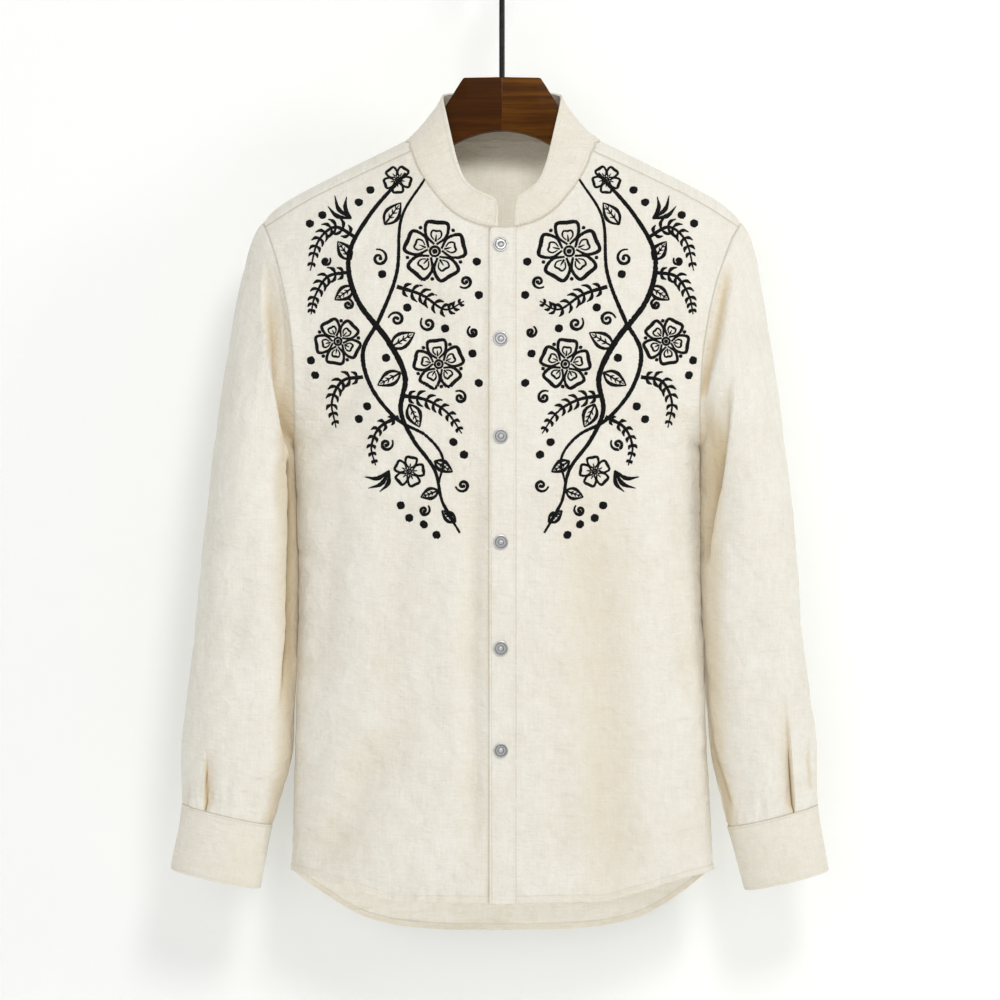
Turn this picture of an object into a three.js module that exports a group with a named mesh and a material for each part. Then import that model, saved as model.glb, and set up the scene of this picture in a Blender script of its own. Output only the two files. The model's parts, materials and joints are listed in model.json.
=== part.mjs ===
// A long-sleeved linen shirt with a band collar, buttoned up on a wooden hanger.
// Millimetres, +Z up. The front faces -Y and the wearer's left is towards +X.
// The origin is the point where the hook bears on a rail.

import * as THREE from "three";

// ---------------------------------------------------------------- driving dimensions

const CLOTH = 1.2; // one layer of linen, as a wall
const FOLDED = 2.0; // folded and faced linen: collar, cuffs
const GAP = 0.3; // between two pieces at a seam
const ROUND = 2.6; // how square the body's level sections are: 2 is an ellipse

const SHOULDER_TIP = -301; // height of the top of the armhole
const UNDERARM = -518; // height of its lowest point
const ARMHOLE_FRONT = 50; // how far the armhole reaches forward of the shoulder line
const ARMHOLE_BACK = 56; // and behind it
const FRONT_SEAM_END = -306; // height where the forward shoulder seam meets the armhole
const BACK_SEAM_END = -322; // and where the seam across the back meets it
const BACK_SEAM_RISE = 4; // how much higher that seam is at the centre back
const BACK_SEAM_HALF = 230; // half its width
const NECK_CORNER = 86.6; // where the shoulder seam meets the neckline, sideways from the centre
const NECK_TOP = -219; // height of the neck seam on the shoulder line
const NECK_BACK = -215.2; // and at the centre back

const PLACKET = { right: -12, left: 13.6, thick: 1.6 }; // the band's two edges and its folded thickness
const UNDERLAP = 10.5; // the right front runs this far past the centre, beneath the placket

const BUTTON = { radius: 7, thick: 2.4, rim: 1.1 };
const CUFF_BUTTON_RADIUS = 5.5;
const BUTTON_HEIGHTS = [-325.7, -416, -508.5, -608.8, -709.5, -806.4];
const BUTTON_X = -1.2;

const HOOK = { wire: 2.75, inner: 22, stemTop: -72, swing: 14, start: -40, end: 205, stations: 20 };
const HANGER = {
  top: -160, archTop: -211.3, archRadius: 86, armSlope: 0.52, below: 4.5, tip: 210, tipDrop: 3,
};

// Half widths of the body to the wearer's right and left. Above the shoulder tip they follow the shoulder
// line.
const SHOULDER = [
  { z: -205, right: 66, left: 68 },
  { z: -219, right: 88.5, left: 90 },
  { z: -234.5, right: 119, left: 121 },
  { z: -250.5, right: 151, left: 153 },
  { z: -266.5, right: 183, left: 184 },
  { z: -280, right: 207, left: 208 },
  { z: -291, right: 222, left: 222 },
  { z: -301, right: 231, left: 231 },
];

// From the shoulder tip to the underarm they follow the armhole seam.
const ARMHOLE = [
  { z: -301, right: 231, left: 231 },
  { z: -306, right: 228.5, left: 228 },
  { z: -317, right: 223.5, left: 221.5 },
  { z: -336, right: 217, left: 213.5 },
  { z: -362, right: 210, left: 204.5 },
  { z: -392, right: 204, left: 197.5 },
  { z: -436, right: 199.5, left: 191 },
  { z: -473, right: 198.5, left: 189.5 },
  { z: -518, right: 200, left: 190.6 },
];

// Below the underarm they follow the side seam.
const SIDE = [
  { z: -518, right: 200, left: 190.6 },
  { z: -570, right: 197.5, left: 191 },
  { z: -640, right: 196.2, left: 192 },
  { z: -720, right: 197.5, left: 194.5 },
  { z: -800, right: 199.5, left: 197.5 },
  { z: -926, right: 203, left: 204.5 },
  { z: -1000, right: 205, left: 208 },
];

// Depth of the body on its centre line, forward and back.
const DEPTH = [
  { z: -205, front: 28, back: 42 },
  { z: -219, front: 32, back: 44 },
  { z: -260, front: 40, back: 50 },
  { z: -303, front: 48, back: 55 },
  { z: -360, front: 58, back: 63 },
  { z: -440, front: 67, back: 71 },
  { z: -520, front: 71, back: 74 },
  { z: -620, front: 70, back: 72 },
  { z: -720, front: 67, back: 67 },
  { z: -820, front: 62, back: 60 },
  { z: -926, front: 56, back: 54 },
  { z: -1000, front: 54, back: 52 },
];

// The neckline on the fronts and the forward shoulder seam, from the centre outwards.
const NECKLINE = [
  { x: 0, z: -309.6 },
  { x: 12, z: -308.4 },
  { x: 24, z: -305.3 },
  { x: 36, z: -300.6 },
  { x: 50, z: -291.2 },
  { x: 64, z: -275.5 },
  { x: 75, z: -260 },
  { x: 82, z: -247 },
  { x: 86.6, z: -233.5 },
];
const SHOULDER_SEAM = [
  { x: 86.6, z: -233.5 },
  { x: 115, z: -246.5 },
  { x: 145, z: -260.5 },
  { x: 175, z: -275 },
  { x: 198, z: -287.5 },
  { x: 215, z: -298 },
  { x: 228.5, z: -306 },
];

// The shirt-tail hems, from the centre outwards.
const FRONT_HEM = [
  { x: 0, z: -953 },
  { x: 50, z: -951.5 },
  { x: 95, z: -952 },
  { x: 125, z: -944.5 },
  { x: 155, z: -936 },
  { x: 180, z: -929.5 },
  { x: 205, z: -926 },
];
const BACK_HEM = [
  { x: 0, z: -992.5 },
  { x: 50, z: -992 },
  { x: 91, z: -989 },
  { x: 130, z: -980 },
  { x: 157, z: -966 },
  { x: 175, z: -953 },
  { x: 190, z: -941 },
  { x: 205, z: -926 },
];

const CAP_FRONT = -302.4; // two more heights near the top of the armhole, on its front
const CAP_BACK = -308; // and on its back
// Heights of the rows of the body panels: down the armhole, then down the side seam.
const ARMHOLE_ROWS = [-345, -375, -410, -445, -475, -500, -513, -518];
const SIDE_ROWS = [-545, -590, -650, -720, -790, -860, -926];

// The collar's free edge. Each row stands over a station of the neckline, from the centre front to the
// centre back.
const COLLAR_TOP = [
  { x: 0, y: -46, z: -280 },
  { x: 10, y: -46, z: -278.5 },
  { x: 19, y: -45, z: -275 },
  { x: 27.5, y: -43, z: -270 },
  { x: 36, y: -41, z: -260.5 },
  { x: 42.5, y: -37, z: -244 },
  { x: 47, y: -32, z: -226 },
  { x: 51, y: -26, z: -208 },
  { x: 54.5, y: -18, z: -192 },
  { x: 57, y: -8, z: -181 },
  { x: 57.5, y: 2, z: -176.5 },
  { x: 54, y: 14, z: -173.5 },
  { x: 43, y: 25, z: -171 },
  { x: 24, y: 33, z: -169.8 },
  { x: 0, y: 36, z: -169.5 },
];
const COLLAR_ENDS = { right: -3.8, left: 12 }; // where its two ends stop at the front
const COLLAR_CORNER = 8; // radius of the rounded top corners
const [END_SLOPE, END_REACH] = [0.35, 45]; // the ends stand straighter, and join the table's curve at 45 mm

// Sections of each sleeve, from the biceps down to the cuff seam and the cuff's edge. Each section is a
// level or tilted oval: its outer and inner ends across the body, and how far it reaches forward and
// back.
const SLEEVE_RIGHT = [
  { outX: 282.5, outZ: -558, inX: 205, inZ: -558, front: 60, back: 68 },
  { outX: 289.7, outZ: -627, inX: 200.5, inZ: -627, front: 56, back: 60 },
  { outX: 299.0, outZ: -702, inX: 200.5, inZ: -706, front: 51, back: 52 },
  { outX: 305.5, outZ: -760, inX: 202, inZ: -768, front: 46, back: 45 },
  { outX: 310.3, outZ: -803, inX: 204.5, inZ: -814, front: 41, back: 40 },
  { outX: 310.5, outZ: -835, inX: 213.5, inZ: -850, front: 36, back: 36 },
  { outX: 309.5, outZ: -862.5, inX: 223, inZ: -882.9, front: 31, back: 32 },
  { outX: 320, outZ: -925.5, inX: 234.5, inZ: -944.5, front: 30, back: 31 },
];
const SLEEVE_LEFT = [
  { outX: 278.5, outZ: -558, inX: 198, inZ: -558, front: 60, back: 68 },
  { outX: 284, outZ: -627, inX: 196, inZ: -627, front: 56, back: 60 },
  { outX: 292, outZ: -702, inX: 197.6, inZ: -706, front: 51, back: 52 },
  { outX: 299.5, outZ: -760, inX: 200, inZ: -768, front: 46, back: 45 },
  { outX: 305, outZ: -803, inX: 202.8, inZ: -814, front: 41, back: 40 },
  { outX: 305.5, outZ: -835, inX: 211, inZ: -850, front: 36, back: 36 },
  { outX: 305.5, outZ: -863.5, inX: 219.5, inZ: -884.8, front: 31, back: 32 },
  { outX: 316, outZ: -927, inX: 235.5, inZ: -946, front: 30, back: 31 },
];
const SLEEVE_ROUND = 2.2;
const CAP_RINGS = 7; // rings between the armhole and the first section
const CUFF_PROUD = 0.9; // the cuff stands this far out from the sleeve
const CUFF_ROWS = 3;
const CUFF_STEPS = 26;
const CUFF_LAP = 0.5; // radians that the cuff's ends overlap
const CUFF_OPENING = 1.3; // angle round the wrist from its outer side, towards the back, where they overlap
const SLIT = { width: 0.36, rise: 2.2, rows: 6, proud: 0.8 }; // sleeve placket: radians wide, sections high

// The hanger's arms: along the shoulder, with the half thickness of the wood.
const ARM = [
  { x: 0.15, half: 8.5 },
  { x: 20, half: 8.5 },
  { x: 37.5, half: 8.5 },
  { x: 55.3, half: 9 },
  { x: 70, half: 9.5 },
  { x: 86, half: 10.5 },
  { x: 115, half: 12 },
  { x: 150, half: 14 },
  { x: 185, half: 15.5 },
  { x: 205, half: 14 },
  { x: 214, half: 9 },
];
const HANGER_EDGE = [
  { x: 0, z: -160 },
  { x: 37.5, z: -160.6 },
  { x: 55.3, z: -189.5 },
  { x: 84, z: -221.5 },
];

// ---------------------------------------------------------------- materials

const finish = (color, roughness, metalness) =>
  new THREE.MeshStandardMaterial({ color, roughness, metalness });
const LINEN = finish(0xe9e3d6, 0.9, 0);
const METAL = finish(0xb4b6b8, 0.35, 1);
const WOOD = finish(0x43220f, 0.4, 0);
const BLACK = finish(0x141414, 0.35, 0.6);

// ---------------------------------------------------------------- reading the tables

// The value of one column at a place down a table, on a smooth curve that doesn't overshoot its rows.
function read(table, by, column, place) {
  const rising = table[1][by] > table[0][by] ? 1 : -1;
  const last = table.length - 1;
  if ((place - table[0][by]) * rising <= 0) return table[0][column];
  if ((place - table[last][by]) * rising >= 0) return table[last][column];
  let i = 0;
  while ((place - table[i + 1][by]) * rising > 0) i += 1;
  const slope = (k) => (table[k + 1][column] - table[k][column]) / (table[k + 1][by] - table[k][by]);
  const tangent = (k) => {
    if (k === 0) return slope(0);
    if (k === last) return slope(last - 1);
    const [before, after] = [slope(k - 1), slope(k)];
    return before * after <= 0 ? 0 : (2 * before * after) / (before + after);
  };
  const step = table[i + 1][by] - table[i][by];
  const t = (place - table[i][by]) / step;
  const [a, b] = [table[i][column], table[i + 1][column]];
  return (
    a * (1 + 2 * t) * (1 - t) ** 2 +
    b * t * t * (3 - 2 * t) +
    step * t * (1 - t) * (tangent(i) * (1 - t) - tangent(i + 1) * t)
  );
}

const mix = (a, b, t) => a + (b - a) * t;
const clamp = (v, low, high) => Math.min(high, Math.max(low, v));
const sideName = (side) => (side < 0 ? "right" : "left");

// ---------------------------------------------------------------- the body's form

// A quarter of a rounded square: how far across and how far through, from 0 to 1, at an angle from 0 to a
// right angle.
function quarter(angle) {
  const [s, c] = [Math.sin(angle), Math.max(0, Math.cos(angle))];
  const size = (s ** ROUND + c ** ROUND) ** (1 / ROUND);
  return { across: s / size, through: c / size };
}

// How far through such a quarter is, at a distance across it.
const throughAt = (across) => (1 - across ** ROUND) ** (1 / ROUND);

// The level section of the body's front or back, on one side. It is a quarter of a rounded square that
// the armhole cuts short: half is where it ends, wide is where it would close, and end is the angle
// between the two.
function sectionAt(side, face, z) {
  const column = sideName(side);
  const depth = read(DEPTH, "z", face < 0 ? "front" : "back", z);
  if (z >= SHOULDER_TIP || z <= UNDERARM) {
    const half = read(z <= UNDERARM ? SIDE : SHOULDER, "z", column, z);
    return { half, wide: half, depth, end: Math.PI / 2 };
  }
  const t = (2 * z - SHOULDER_TIP - UNDERARM) / (SHOULDER_TIP - UNDERARM);
  const lip = (Math.sqrt(1 - t * t) * (face < 0 ? ARMHOLE_FRONT : ARMHOLE_BACK)) / depth;
  const half = read(ARMHOLE, "z", column, z);
  const across = throughAt(lip);
  return { half, wide: half / across, depth, end: Math.atan2(across, lip) };
}

// A point of the body's outer surface. The angle goes from 0 on the centre line to a right angle at the
// side seam, the armhole or the shoulder line; face is -1 on the front and 1 on the back.
function form(side, face, angle, z) {
  const { wide, depth, end } = sectionAt(side, face, z);
  const { across, through } = quarter((angle * end) / (Math.PI / 2));
  return new THREE.Vector3(side * wide * across, face * depth * through, z);
}

// The surface's outward direction there.
function formNormal(side, face, angle, z) {
  const turn = 0.01;
  const drop = 0.5;
  const a = clamp(angle, turn, Math.PI / 2 - turn);
  const round = form(side, face, a + turn, z).sub(form(side, face, a - turn, z));
  const down = form(side, face, a, z - drop).sub(form(side, face, a, z + drop));
  return round.cross(down).multiplyScalar(side * face).normalize();
}

// The angle of a place across a section, given by its distance from the centre line.
function angleOfX(side, face, x, z) {
  const { wide, end } = sectionAt(side, face, z);
  const across = clamp(x / wide, 0, 1);
  return (Math.atan2(across, throughAt(across)) * Math.PI) / 2 / end;
}

// The angle of a place part of the way round a section's cloth, from a distance beside the centre line to
// the side. The cloth that the armhole adds or takes away is shared among the parts near the side.
function angleAlong(side, face, z, from, part) {
  const steps = 60;
  const lengths = [0];
  let before = form(side, face, 0, z);
  for (let i = 1; i <= steps; i += 1) {
    const here = form(side, face, ((Math.PI / 2) * i) / steps, z);
    lengths.push(lengths[i - 1] + here.distanceTo(before));
    before = here;
  }
  const { half } = sectionAt(side, face, z);
  const target = from + part * (half - from) + part ** 3 * (lengths[steps] - half);
  if (target <= 0) return 0;
  let i = 1;
  while (i < steps && lengths[i] < target) i += 1;
  return ((Math.PI / 2) * (i - 1 + (target - lengths[i - 1]) / (lengths[i] - lengths[i - 1]))) / steps;
}

// ---------------------------------------------------------------- walls of cloth

// A closed solid from a grid of points and the direction out of the cloth at each. It lies between two
// distances out from the points. A grid that is closed round joins its last column to its first.
function wall(name, points, normals, material, { outer = 0, inner = -CLOTH, closed = false } = {}) {
  const rows = points.length;
  const cols = points[0].length;
  const spanCols = closed ? cols : cols - 1;
  const position = [];
  for (const distance of [outer, inner]) {
    for (let r = 0; r < rows; r += 1) {
      for (let c = 0; c < cols; c += 1) {
        position.push(...points[r][c].clone().addScaledVector(normals[r][c], distance).toArray());
      }
    }
  }
  const at = (layer, r, c) => layer * rows * cols + r * cols + (c % cols);
  const index = [];
  const quad = (a, b, c, d) => index.push(a, b, c, a, c, d);
  for (let r = 0; r < rows - 1; r += 1) {
    for (let c = 0; c < spanCols; c += 1) {
      quad(at(0, r, c), at(0, r + 1, c), at(0, r + 1, c + 1), at(0, r, c + 1));
      quad(at(1, r, c), at(1, r, c + 1), at(1, r + 1, c + 1), at(1, r + 1, c));
    }
  }
  for (let c = 0; c < spanCols; c += 1) {
    quad(at(0, 0, c), at(0, 0, c + 1), at(1, 0, c + 1), at(1, 0, c));
    quad(at(0, rows - 1, c), at(1, rows - 1, c), at(1, rows - 1, c + 1), at(0, rows - 1, c + 1));
  }
  for (let r = 0; !closed && r < rows - 1; r += 1) {
    quad(at(0, r, 0), at(1, r, 0), at(1, r + 1, 0), at(0, r + 1, 0));
    quad(at(0, r, cols - 1), at(0, r + 1, cols - 1), at(1, r + 1, cols - 1), at(1, r, cols - 1));
  }
  return solid(name, position, index, material);
}

// A mesh from points and triangles, turned right side out.
function solid(name, position, index, material) {
  const corner = (i) => new THREE.Vector3().fromArray(position, 3 * i);
  let volume = 0;
  for (let i = 0; i < index.length; i += 3) {
    volume += corner(index[i]).dot(corner(index[i + 1]).cross(corner(index[i + 2])));
  }
  if (volume < 0) index.reverse();
  const geometry = new THREE.BufferGeometry();
  geometry.setAttribute("position", new THREE.Float32BufferAttribute(position, 3));
  geometry.setIndex(index);
  geometry.computeVertexNormals();
  const mesh = new THREE.Mesh(geometry, material);
  mesh.name = name;
  return mesh;
}

// Draws the chosen edges of a grid back by half the seam gap.
function trim(points, { top = false, bottom = false, first = false, last = false }) {
  const pull = (edge, next) => edge.add(next.clone().sub(edge).setLength(GAP * 0.6));
  const end = points.length - 1;
  const side = points[0].length - 1;
  if (first) points.forEach((row) => pull(row[0], row[1]));
  if (last) points.forEach((row) => pull(row[side], row[side - 1]));
  if (top) points[0].forEach((p, c) => pull(p, points[1][c]));
  if (bottom) points[end].forEach((p, c) => pull(p, points[end - 1][c]));
  return points;
}

// ---------------------------------------------------------------- fronts, placket and back

// Height of the top edge of a front: the neckline, then the forward shoulder seam.
function frontTop(x) {
  return x < NECK_CORNER ? read(NECKLINE, "x", "z", x) : read(SHOULDER_SEAM, "x", "z", x);
}

// A place on a front: part of the way from its inner edge to its outer edge, at a height. Above the
// seam's end the columns keep going straight up.
function frontAngle(side, inner, part, z) {
  const level = Math.min(z, FRONT_SEAM_END);
  const angle = angleAlong(side, -1, level, inner, part);
  if (z <= FRONT_SEAM_END) return angle;
  return angleOfX(side, -1, Math.abs(form(side, -1, angle, level).x), z);
}

// Where the columns of a front start along its top edge, as parts of the way across.
function frontColumns(side, inner) {
  const stations = [...NECKLINE, ...SHOULDER_SEAM.slice(1)].map((row) => row.x);
  const { half } = sectionAt(side, -1, FRONT_SEAM_END);
  const reach = (part) => {
    const angle = angleAlong(side, -1, FRONT_SEAM_END, inner, part);
    return side * form(side, -1, angle, FRONT_SEAM_END).x;
  };
  const parts = [0];
  for (const x of stations.filter((s) => s > inner + 5 && s < half - 3)) {
    let [low, high] = [0, 1];
    for (let i = 0; i < 30; i += 1) {
      const middle = (low + high) / 2;
      if (reach(middle) < x) low = middle;
      else high = middle;
    }
    parts.push((low + high) / 2);
  }
  return parts.concat(1);
}

// The grid of a front or half a back. Its columns run down from the top edge to the hem; the heights of
// its rows are given down its outer edge.
function panel(side, face, columns, topOf, hem, outerRows, angleOf) {
  const points = [];
  const normals = [];
  const last = outerRows.length - 1;
  for (let r = 0; r <= last; r += 1) {
    const part = (outerRows[r] - outerRows[0]) / (outerRows[last] - outerRows[0]);
    const row = columns.map((u) => {
      const topX = Math.abs(form(side, face, angleOf(u, outerRows[0]), outerRows[0]).x);
      const hemX = Math.abs(form(side, face, angleOf(u, outerRows[last]), outerRows[last]).x);
      const topZ = u === 1 ? outerRows[0] : topOf(topX);
      const z = mix(topZ, u === 1 ? outerRows[last] : read(hem, "x", "z", hemX), part);
      const angle = angleOf(u, z);
      return { point: form(side, face, angle, z), normal: formNormal(side, face, angle, z) };
    });
    points.push(row.map((v) => v.point));
    normals.push(row.map((v) => v.normal));
  }
  return { points, normals };
}

// Height of the seam between the back and the yoke.
const backSeam = (x) => BACK_SEAM_END + BACK_SEAM_RISE * (1 - (x / BACK_SEAM_HALF) ** 2);

const FRONT_ROWS = [FRONT_SEAM_END, BACK_SEAM_END, ...ARMHOLE_ROWS, ...SIDE_ROWS];
const BACK_ROWS = [BACK_SEAM_END, ...ARMHOLE_ROWS, ...SIDE_ROWS];

function front(side) {
  const start = side < 0 ? -PLACKET.right : PLACKET.left + GAP;
  const columns = frontColumns(side, start);
  const angleOf = (u, z) => frontAngle(side, start, u, z);
  const { points, normals } = panel(side, -1, columns, frontTop, FRONT_HEM, FRONT_ROWS, angleOf);
  if (side < 0) {
    // the button side carries on past the centre, beneath the placket
    points.forEach((row) => row.unshift(row[0].clone().setX(UNDERLAP)));
    normals.forEach((row) => row.unshift(row[0].clone()));
  }
  return wall(`front_${sideName(side)}`, trim(points, { top: true, last: true }), normals, LINEN);
}

function placket() {
  const xs = [PLACKET.right, 0, PLACKET.left];
  const last = FRONT_ROWS.length - 1;
  const points = [];
  const normals = [];
  for (let r = 0; r <= last; r += 1) {
    const part = (FRONT_ROWS[r] - FRONT_ROWS[0]) / (FRONT_ROWS[last] - FRONT_ROWS[0]);
    const z = mix(frontTop(0), FRONT_HEM[0].z, part);
    points.push(xs.map((x) => form(1, -1, 0, z).setX(x)));
    normals.push(xs.map(() => formNormal(1, -1, 0, z).setX(0).normalize()));
  }
  const limits = { outer: GAP + PLACKET.thick, inner: GAP };
  return wall("placket", trim(points, { top: true }), normals, LINEN, limits);
}

function back() {
  const parts = [0, 0.16, 0.32, 0.47, 0.6, 0.72, 0.83, 0.92, 1];
  const half = (side) => {
    const angleOf = (u, z) => angleAlong(side, 1, z, 0, u);
    return panel(side, 1, parts, backSeam, BACK_HEM, BACK_ROWS, angleOf);
  };
  const [right, left] = [half(-1), half(1)];
  const join = (a, b) => a.map((row, r) => [...row.slice(1).reverse(), ...b[r]]);
  const points = trim(join(right.points, left.points), { top: true, first: true, last: true });
  return wall("back", points, join(right.normals, left.normals), LINEN);
}

// ---------------------------------------------------------------- yoke and collar

// The yoke's lines from the neckline out to the armhole or the back seam, from the forward seam round to
// the centre back. Each gives its face, and the angle and height of its two ends.
function yokeLines(side) {
  const right = Math.PI / 2;
  const neckSide = mix(SHOULDER_SEAM[0].z, NECK_TOP, 0.55);
  const neckX = mix(NECK_CORNER, sectionAt(side, -1, NECK_TOP).half, 0.75);
  const lines = [
    { face: -1, a: [angleOfX(side, -1, neckX, neckSide), neckSide], b: [right, CAP_FRONT] },
    { face: 1, a: [right, NECK_TOP], b: [right, SHOULDER_TIP] },
    { face: 1, a: [1.42, NECK_TOP + 0.3], b: [right, CAP_BACK] },
    { face: 1, a: [1.26, NECK_TOP + 0.8], b: [right, BACK_SEAM_END] },
  ];
  const backParts = [
    { u: 0.83, angle: 1.08 },
    { u: 0.72, angle: 0.92 },
    { u: 0.6, angle: 0.76 },
    { u: 0.47, angle: 0.6 },
    { u: 0.32, angle: 0.4 },
    { u: 0.16, angle: 0.2 },
    { u: 0, angle: 0 },
  ];
  for (const { u, angle } of backParts) {
    const end = angleAlong(side, 1, BACK_SEAM_END, 0, u);
    const x = Math.abs(form(side, 1, end, BACK_SEAM_END).x);
    const z = backSeam(x);
    lines.push({
      face: 1,
      a: [angle, mix(NECK_BACK, NECK_TOP, Math.sin(angle))],
      b: [angleAlong(side, 1, z, 0, u), z],
    });
  }
  return lines;
}

function yokeHalf(side) {
  const seamRows = SHOULDER_SEAM.length - 1;
  const grid = [[]];
  for (let i = 0; i <= seamRows; i += 1) {
    const { x, z } = SHOULDER_SEAM[i];
    const angle = i === seamRows ? Math.PI / 2 : angleOfX(side, -1, x, z);
    grid[0].push({ face: -1, angle, z });
  }
  for (const { face, a, b } of yokeLines(side)) {
    const line = [];
    for (let i = 0; i <= seamRows; i += 1) {
      const t = i / seamRows;
      line.push({ face, angle: mix(a[0], b[0], t), z: mix(a[1], b[1], t) });
    }
    grid.push(line);
  }
  return {
    points: grid.map((line) => line.map((v) => form(side, v.face, v.angle, v.z))),
    normals: grid.map((line) => line.map((v) => formNormal(side, v.face, v.angle, v.z))),
  };
}

function yoke() {
  const [right, left] = [yokeHalf(-1), yokeHalf(1)];
  const join = (a, b) => [...a, ...b.slice(0, -1).reverse()];
  const points = trim(join(right.points, left.points), { top: true, bottom: true, first: true, last: true });
  return wall("yoke", points, join(right.normals, left.normals), LINEN);
}

// The seam where the collar meets the shirt, from one front end to the other.
function neckSeam(side) {
  const end = side < 0 ? -COLLAR_ENDS.right : COLLAR_ENDS.left;
  const onFront = NECKLINE.filter((row) => row.x > end + 4).map((row) => row.x);
  const seam = [end, ...onFront].map((x) => {
    const z = frontTop(Math.min(x, NECK_CORNER - 0.001));
    return form(side, -1, angleOfX(side, -1, x, z), z);
  });
  const yokeEdge = yokeHalf(side).points.slice(1).map((line) => line[0]);
  return [...seam, ...yokeEdge];
}

// The free edge over a place along the neck seam: matched by the part of the way round from the centre
// front.
function collarTop(side, seam) {
  const lengths = [0];
  seam.forEach((p, i) => i && lengths.push(lengths[i - 1] + p.distanceTo(seam[i - 1])));
  const total = lengths[lengths.length - 1];
  const rows = COLLAR_TOP.map((row, i) => ({ ...row, part: i / (COLLAR_TOP.length - 1) }));
  const end = side < 0 ? -COLLAR_ENDS.right : COLLAR_ENDS.left;
  return lengths.map((length) => {
    const part = length / total;
    const [x, y, z] = ["x", "y", "z"].map((column) => read(rows, "part", column, part));
    const straight = end + END_SLOPE * length;
    return new THREE.Vector3(side * mix(straight, x, clamp(length / END_REACH, 0, 1)), y, z);
  });
}

function collar() {
  const rises = [0, 0.35, 0.7, 1];
  const halves = [-1, 1].map((side) => {
    const seam = neckSeam(side);
    const top = collarTop(side, seam);
    return seam.map((base, i) => {
      const drop = i === 0 ? COLLAR_CORNER : 0;
      const rise = top[i].clone().sub(base);
      const length = rise.length();
      const lift = 3 * GAP;
      const reach = length - drop - lift;
      return rises.map((t) => base.clone().addScaledVector(rise, (lift + t * reach) / length));
    });
  });
  const columns = [...halves[0], ...halves[1].slice(0, -1).reverse()];
  const points = rises.map((_, r) => columns.map((column) => column[r]));
  const normals = gridNormals(points, new THREE.Vector3());
  return wall("collar", points, normals, LINEN, { outer: 0, inner: -FOLDED });
}

// Directions out of a grid, away from a point, or from a point for each row.
function gridNormals(points, centre) {
  return points.map((row, r) =>
    row.map((p, c) => {
      const west = row[Math.max(0, c - 1)];
      const east = row[Math.min(row.length - 1, c + 1)];
      const up = points[Math.max(0, r - 1)][c];
      const down = points[Math.min(points.length - 1, r + 1)][c];
      const normal = east.clone().sub(west).cross(down.clone().sub(up)).normalize();
      const middle = centre.isVector3 ? centre : centre[r];
      const outward = new THREE.Vector3(p.x - middle.x, p.y - middle.y, 0);
      return normal.dot(outward) < 0 ? normal.negate() : normal;
    }),
  );
}

// ---------------------------------------------------------------- sleeves and cuffs

// The armhole seam on one side, once round: from its top down the front and up the back.
function armhole(side) {
  const right = Math.PI / 2;
  const at = (face, z) => form(side, face, right, z);
  const frontRows = [CAP_FRONT, ...FRONT_ROWS.filter((z) => z > UNDERARM)];
  const backRows = [CAP_BACK, ...BACK_ROWS.filter((z) => z > UNDERARM)].reverse();
  return [
    at(-1, SHOULDER_TIP),
    ...frontRows.map((z) => at(-1, z)),
    at(-1, UNDERARM),
    ...backRows.map((z) => at(1, z)),
  ];
}

// A point of a sleeve's oval section, with the angle measured from its outer side towards the front.
function sleevePoint(side, section, angle) {
  const [c, s] = [Math.cos(angle), Math.sin(angle)];
  const size = (Math.abs(c) ** SLEEVE_ROUND + Math.abs(s) ** SLEEVE_ROUND) ** (1 / SLEEVE_ROUND);
  const along = (1 - c / size) / 2;
  const y = s > 0 ? (-section.front * s) / size : (-section.back * s) / size;
  const x = side * mix(section.outX, section.inX, along);
  return new THREE.Vector3(x, y, mix(section.outZ, section.inZ, along));
}

const sleeveTable = (side) => (side < 0 ? SLEEVE_RIGHT : SLEEVE_LEFT).map((row, i) => ({ ...row, step: i }));
const CUFF_SEAM = SLEEVE_RIGHT.length - 2;

// A section between two rows of the table.
function sleeveSection(side, step) {
  const table = sleeveTable(side);
  const columns = ["outX", "outZ", "inX", "inZ", "front", "back"];
  return Object.fromEntries(columns.map((column) => [column, read(table, "step", column, step)]));
}

// The sleeve's rings: each starts on the armhole and turns down into the first section.
function sleeveRings(side) {
  const loop = armhole(side);
  const lengths = [0];
  for (let i = 1; i <= loop.length; i += 1) {
    lengths.push(lengths[i - 1] + loop[i % loop.length].distanceTo(loop[i - 1]));
  }
  const angles = loop.map((_, i) => (2 * Math.PI * lengths[i]) / lengths[loop.length]);
  const first = sleeveSection(side, 0);
  const rings = [];
  for (let k = 0; k < CAP_RINGS; k += 1) {
    const t = k / CAP_RINGS;
    rings.push(
      loop.map((start, i) => {
        const from = start.clone().add(new THREE.Vector3(side * GAP * 0.6, 0, 0));
        const to = sleevePoint(side, first, angles[i]);
        const reach = from.distanceTo(to);
        const away = new THREE.Vector3(0.34 * side, -0.1 * Math.sin(angles[i]), -0.15).multiplyScalar(reach);
        const down = new THREE.Vector3(0.12 * side, 0, -0.95).multiplyScalar(reach);
        return from
          .multiplyScalar((1 + 2 * t) * (1 - t) ** 2)
          .addScaledVector(to, t * t * (3 - 2 * t))
          .addScaledVector(away, t * (1 - t) ** 2)
          .addScaledVector(down, -t * t * (1 - t));
      }),
    );
  }
  for (let step = 0; step <= CUFF_SEAM; step += step < 4 ? 0.5 : 1) {
    const section = sleeveSection(side, step);
    rings.push(angles.map((angle) => sleevePoint(side, section, angle)));
  }
  return rings;
}

const middleOf = (ring) => ring.reduce((sum, p) => sum.add(p), new THREE.Vector3()).divideScalar(ring.length);

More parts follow.
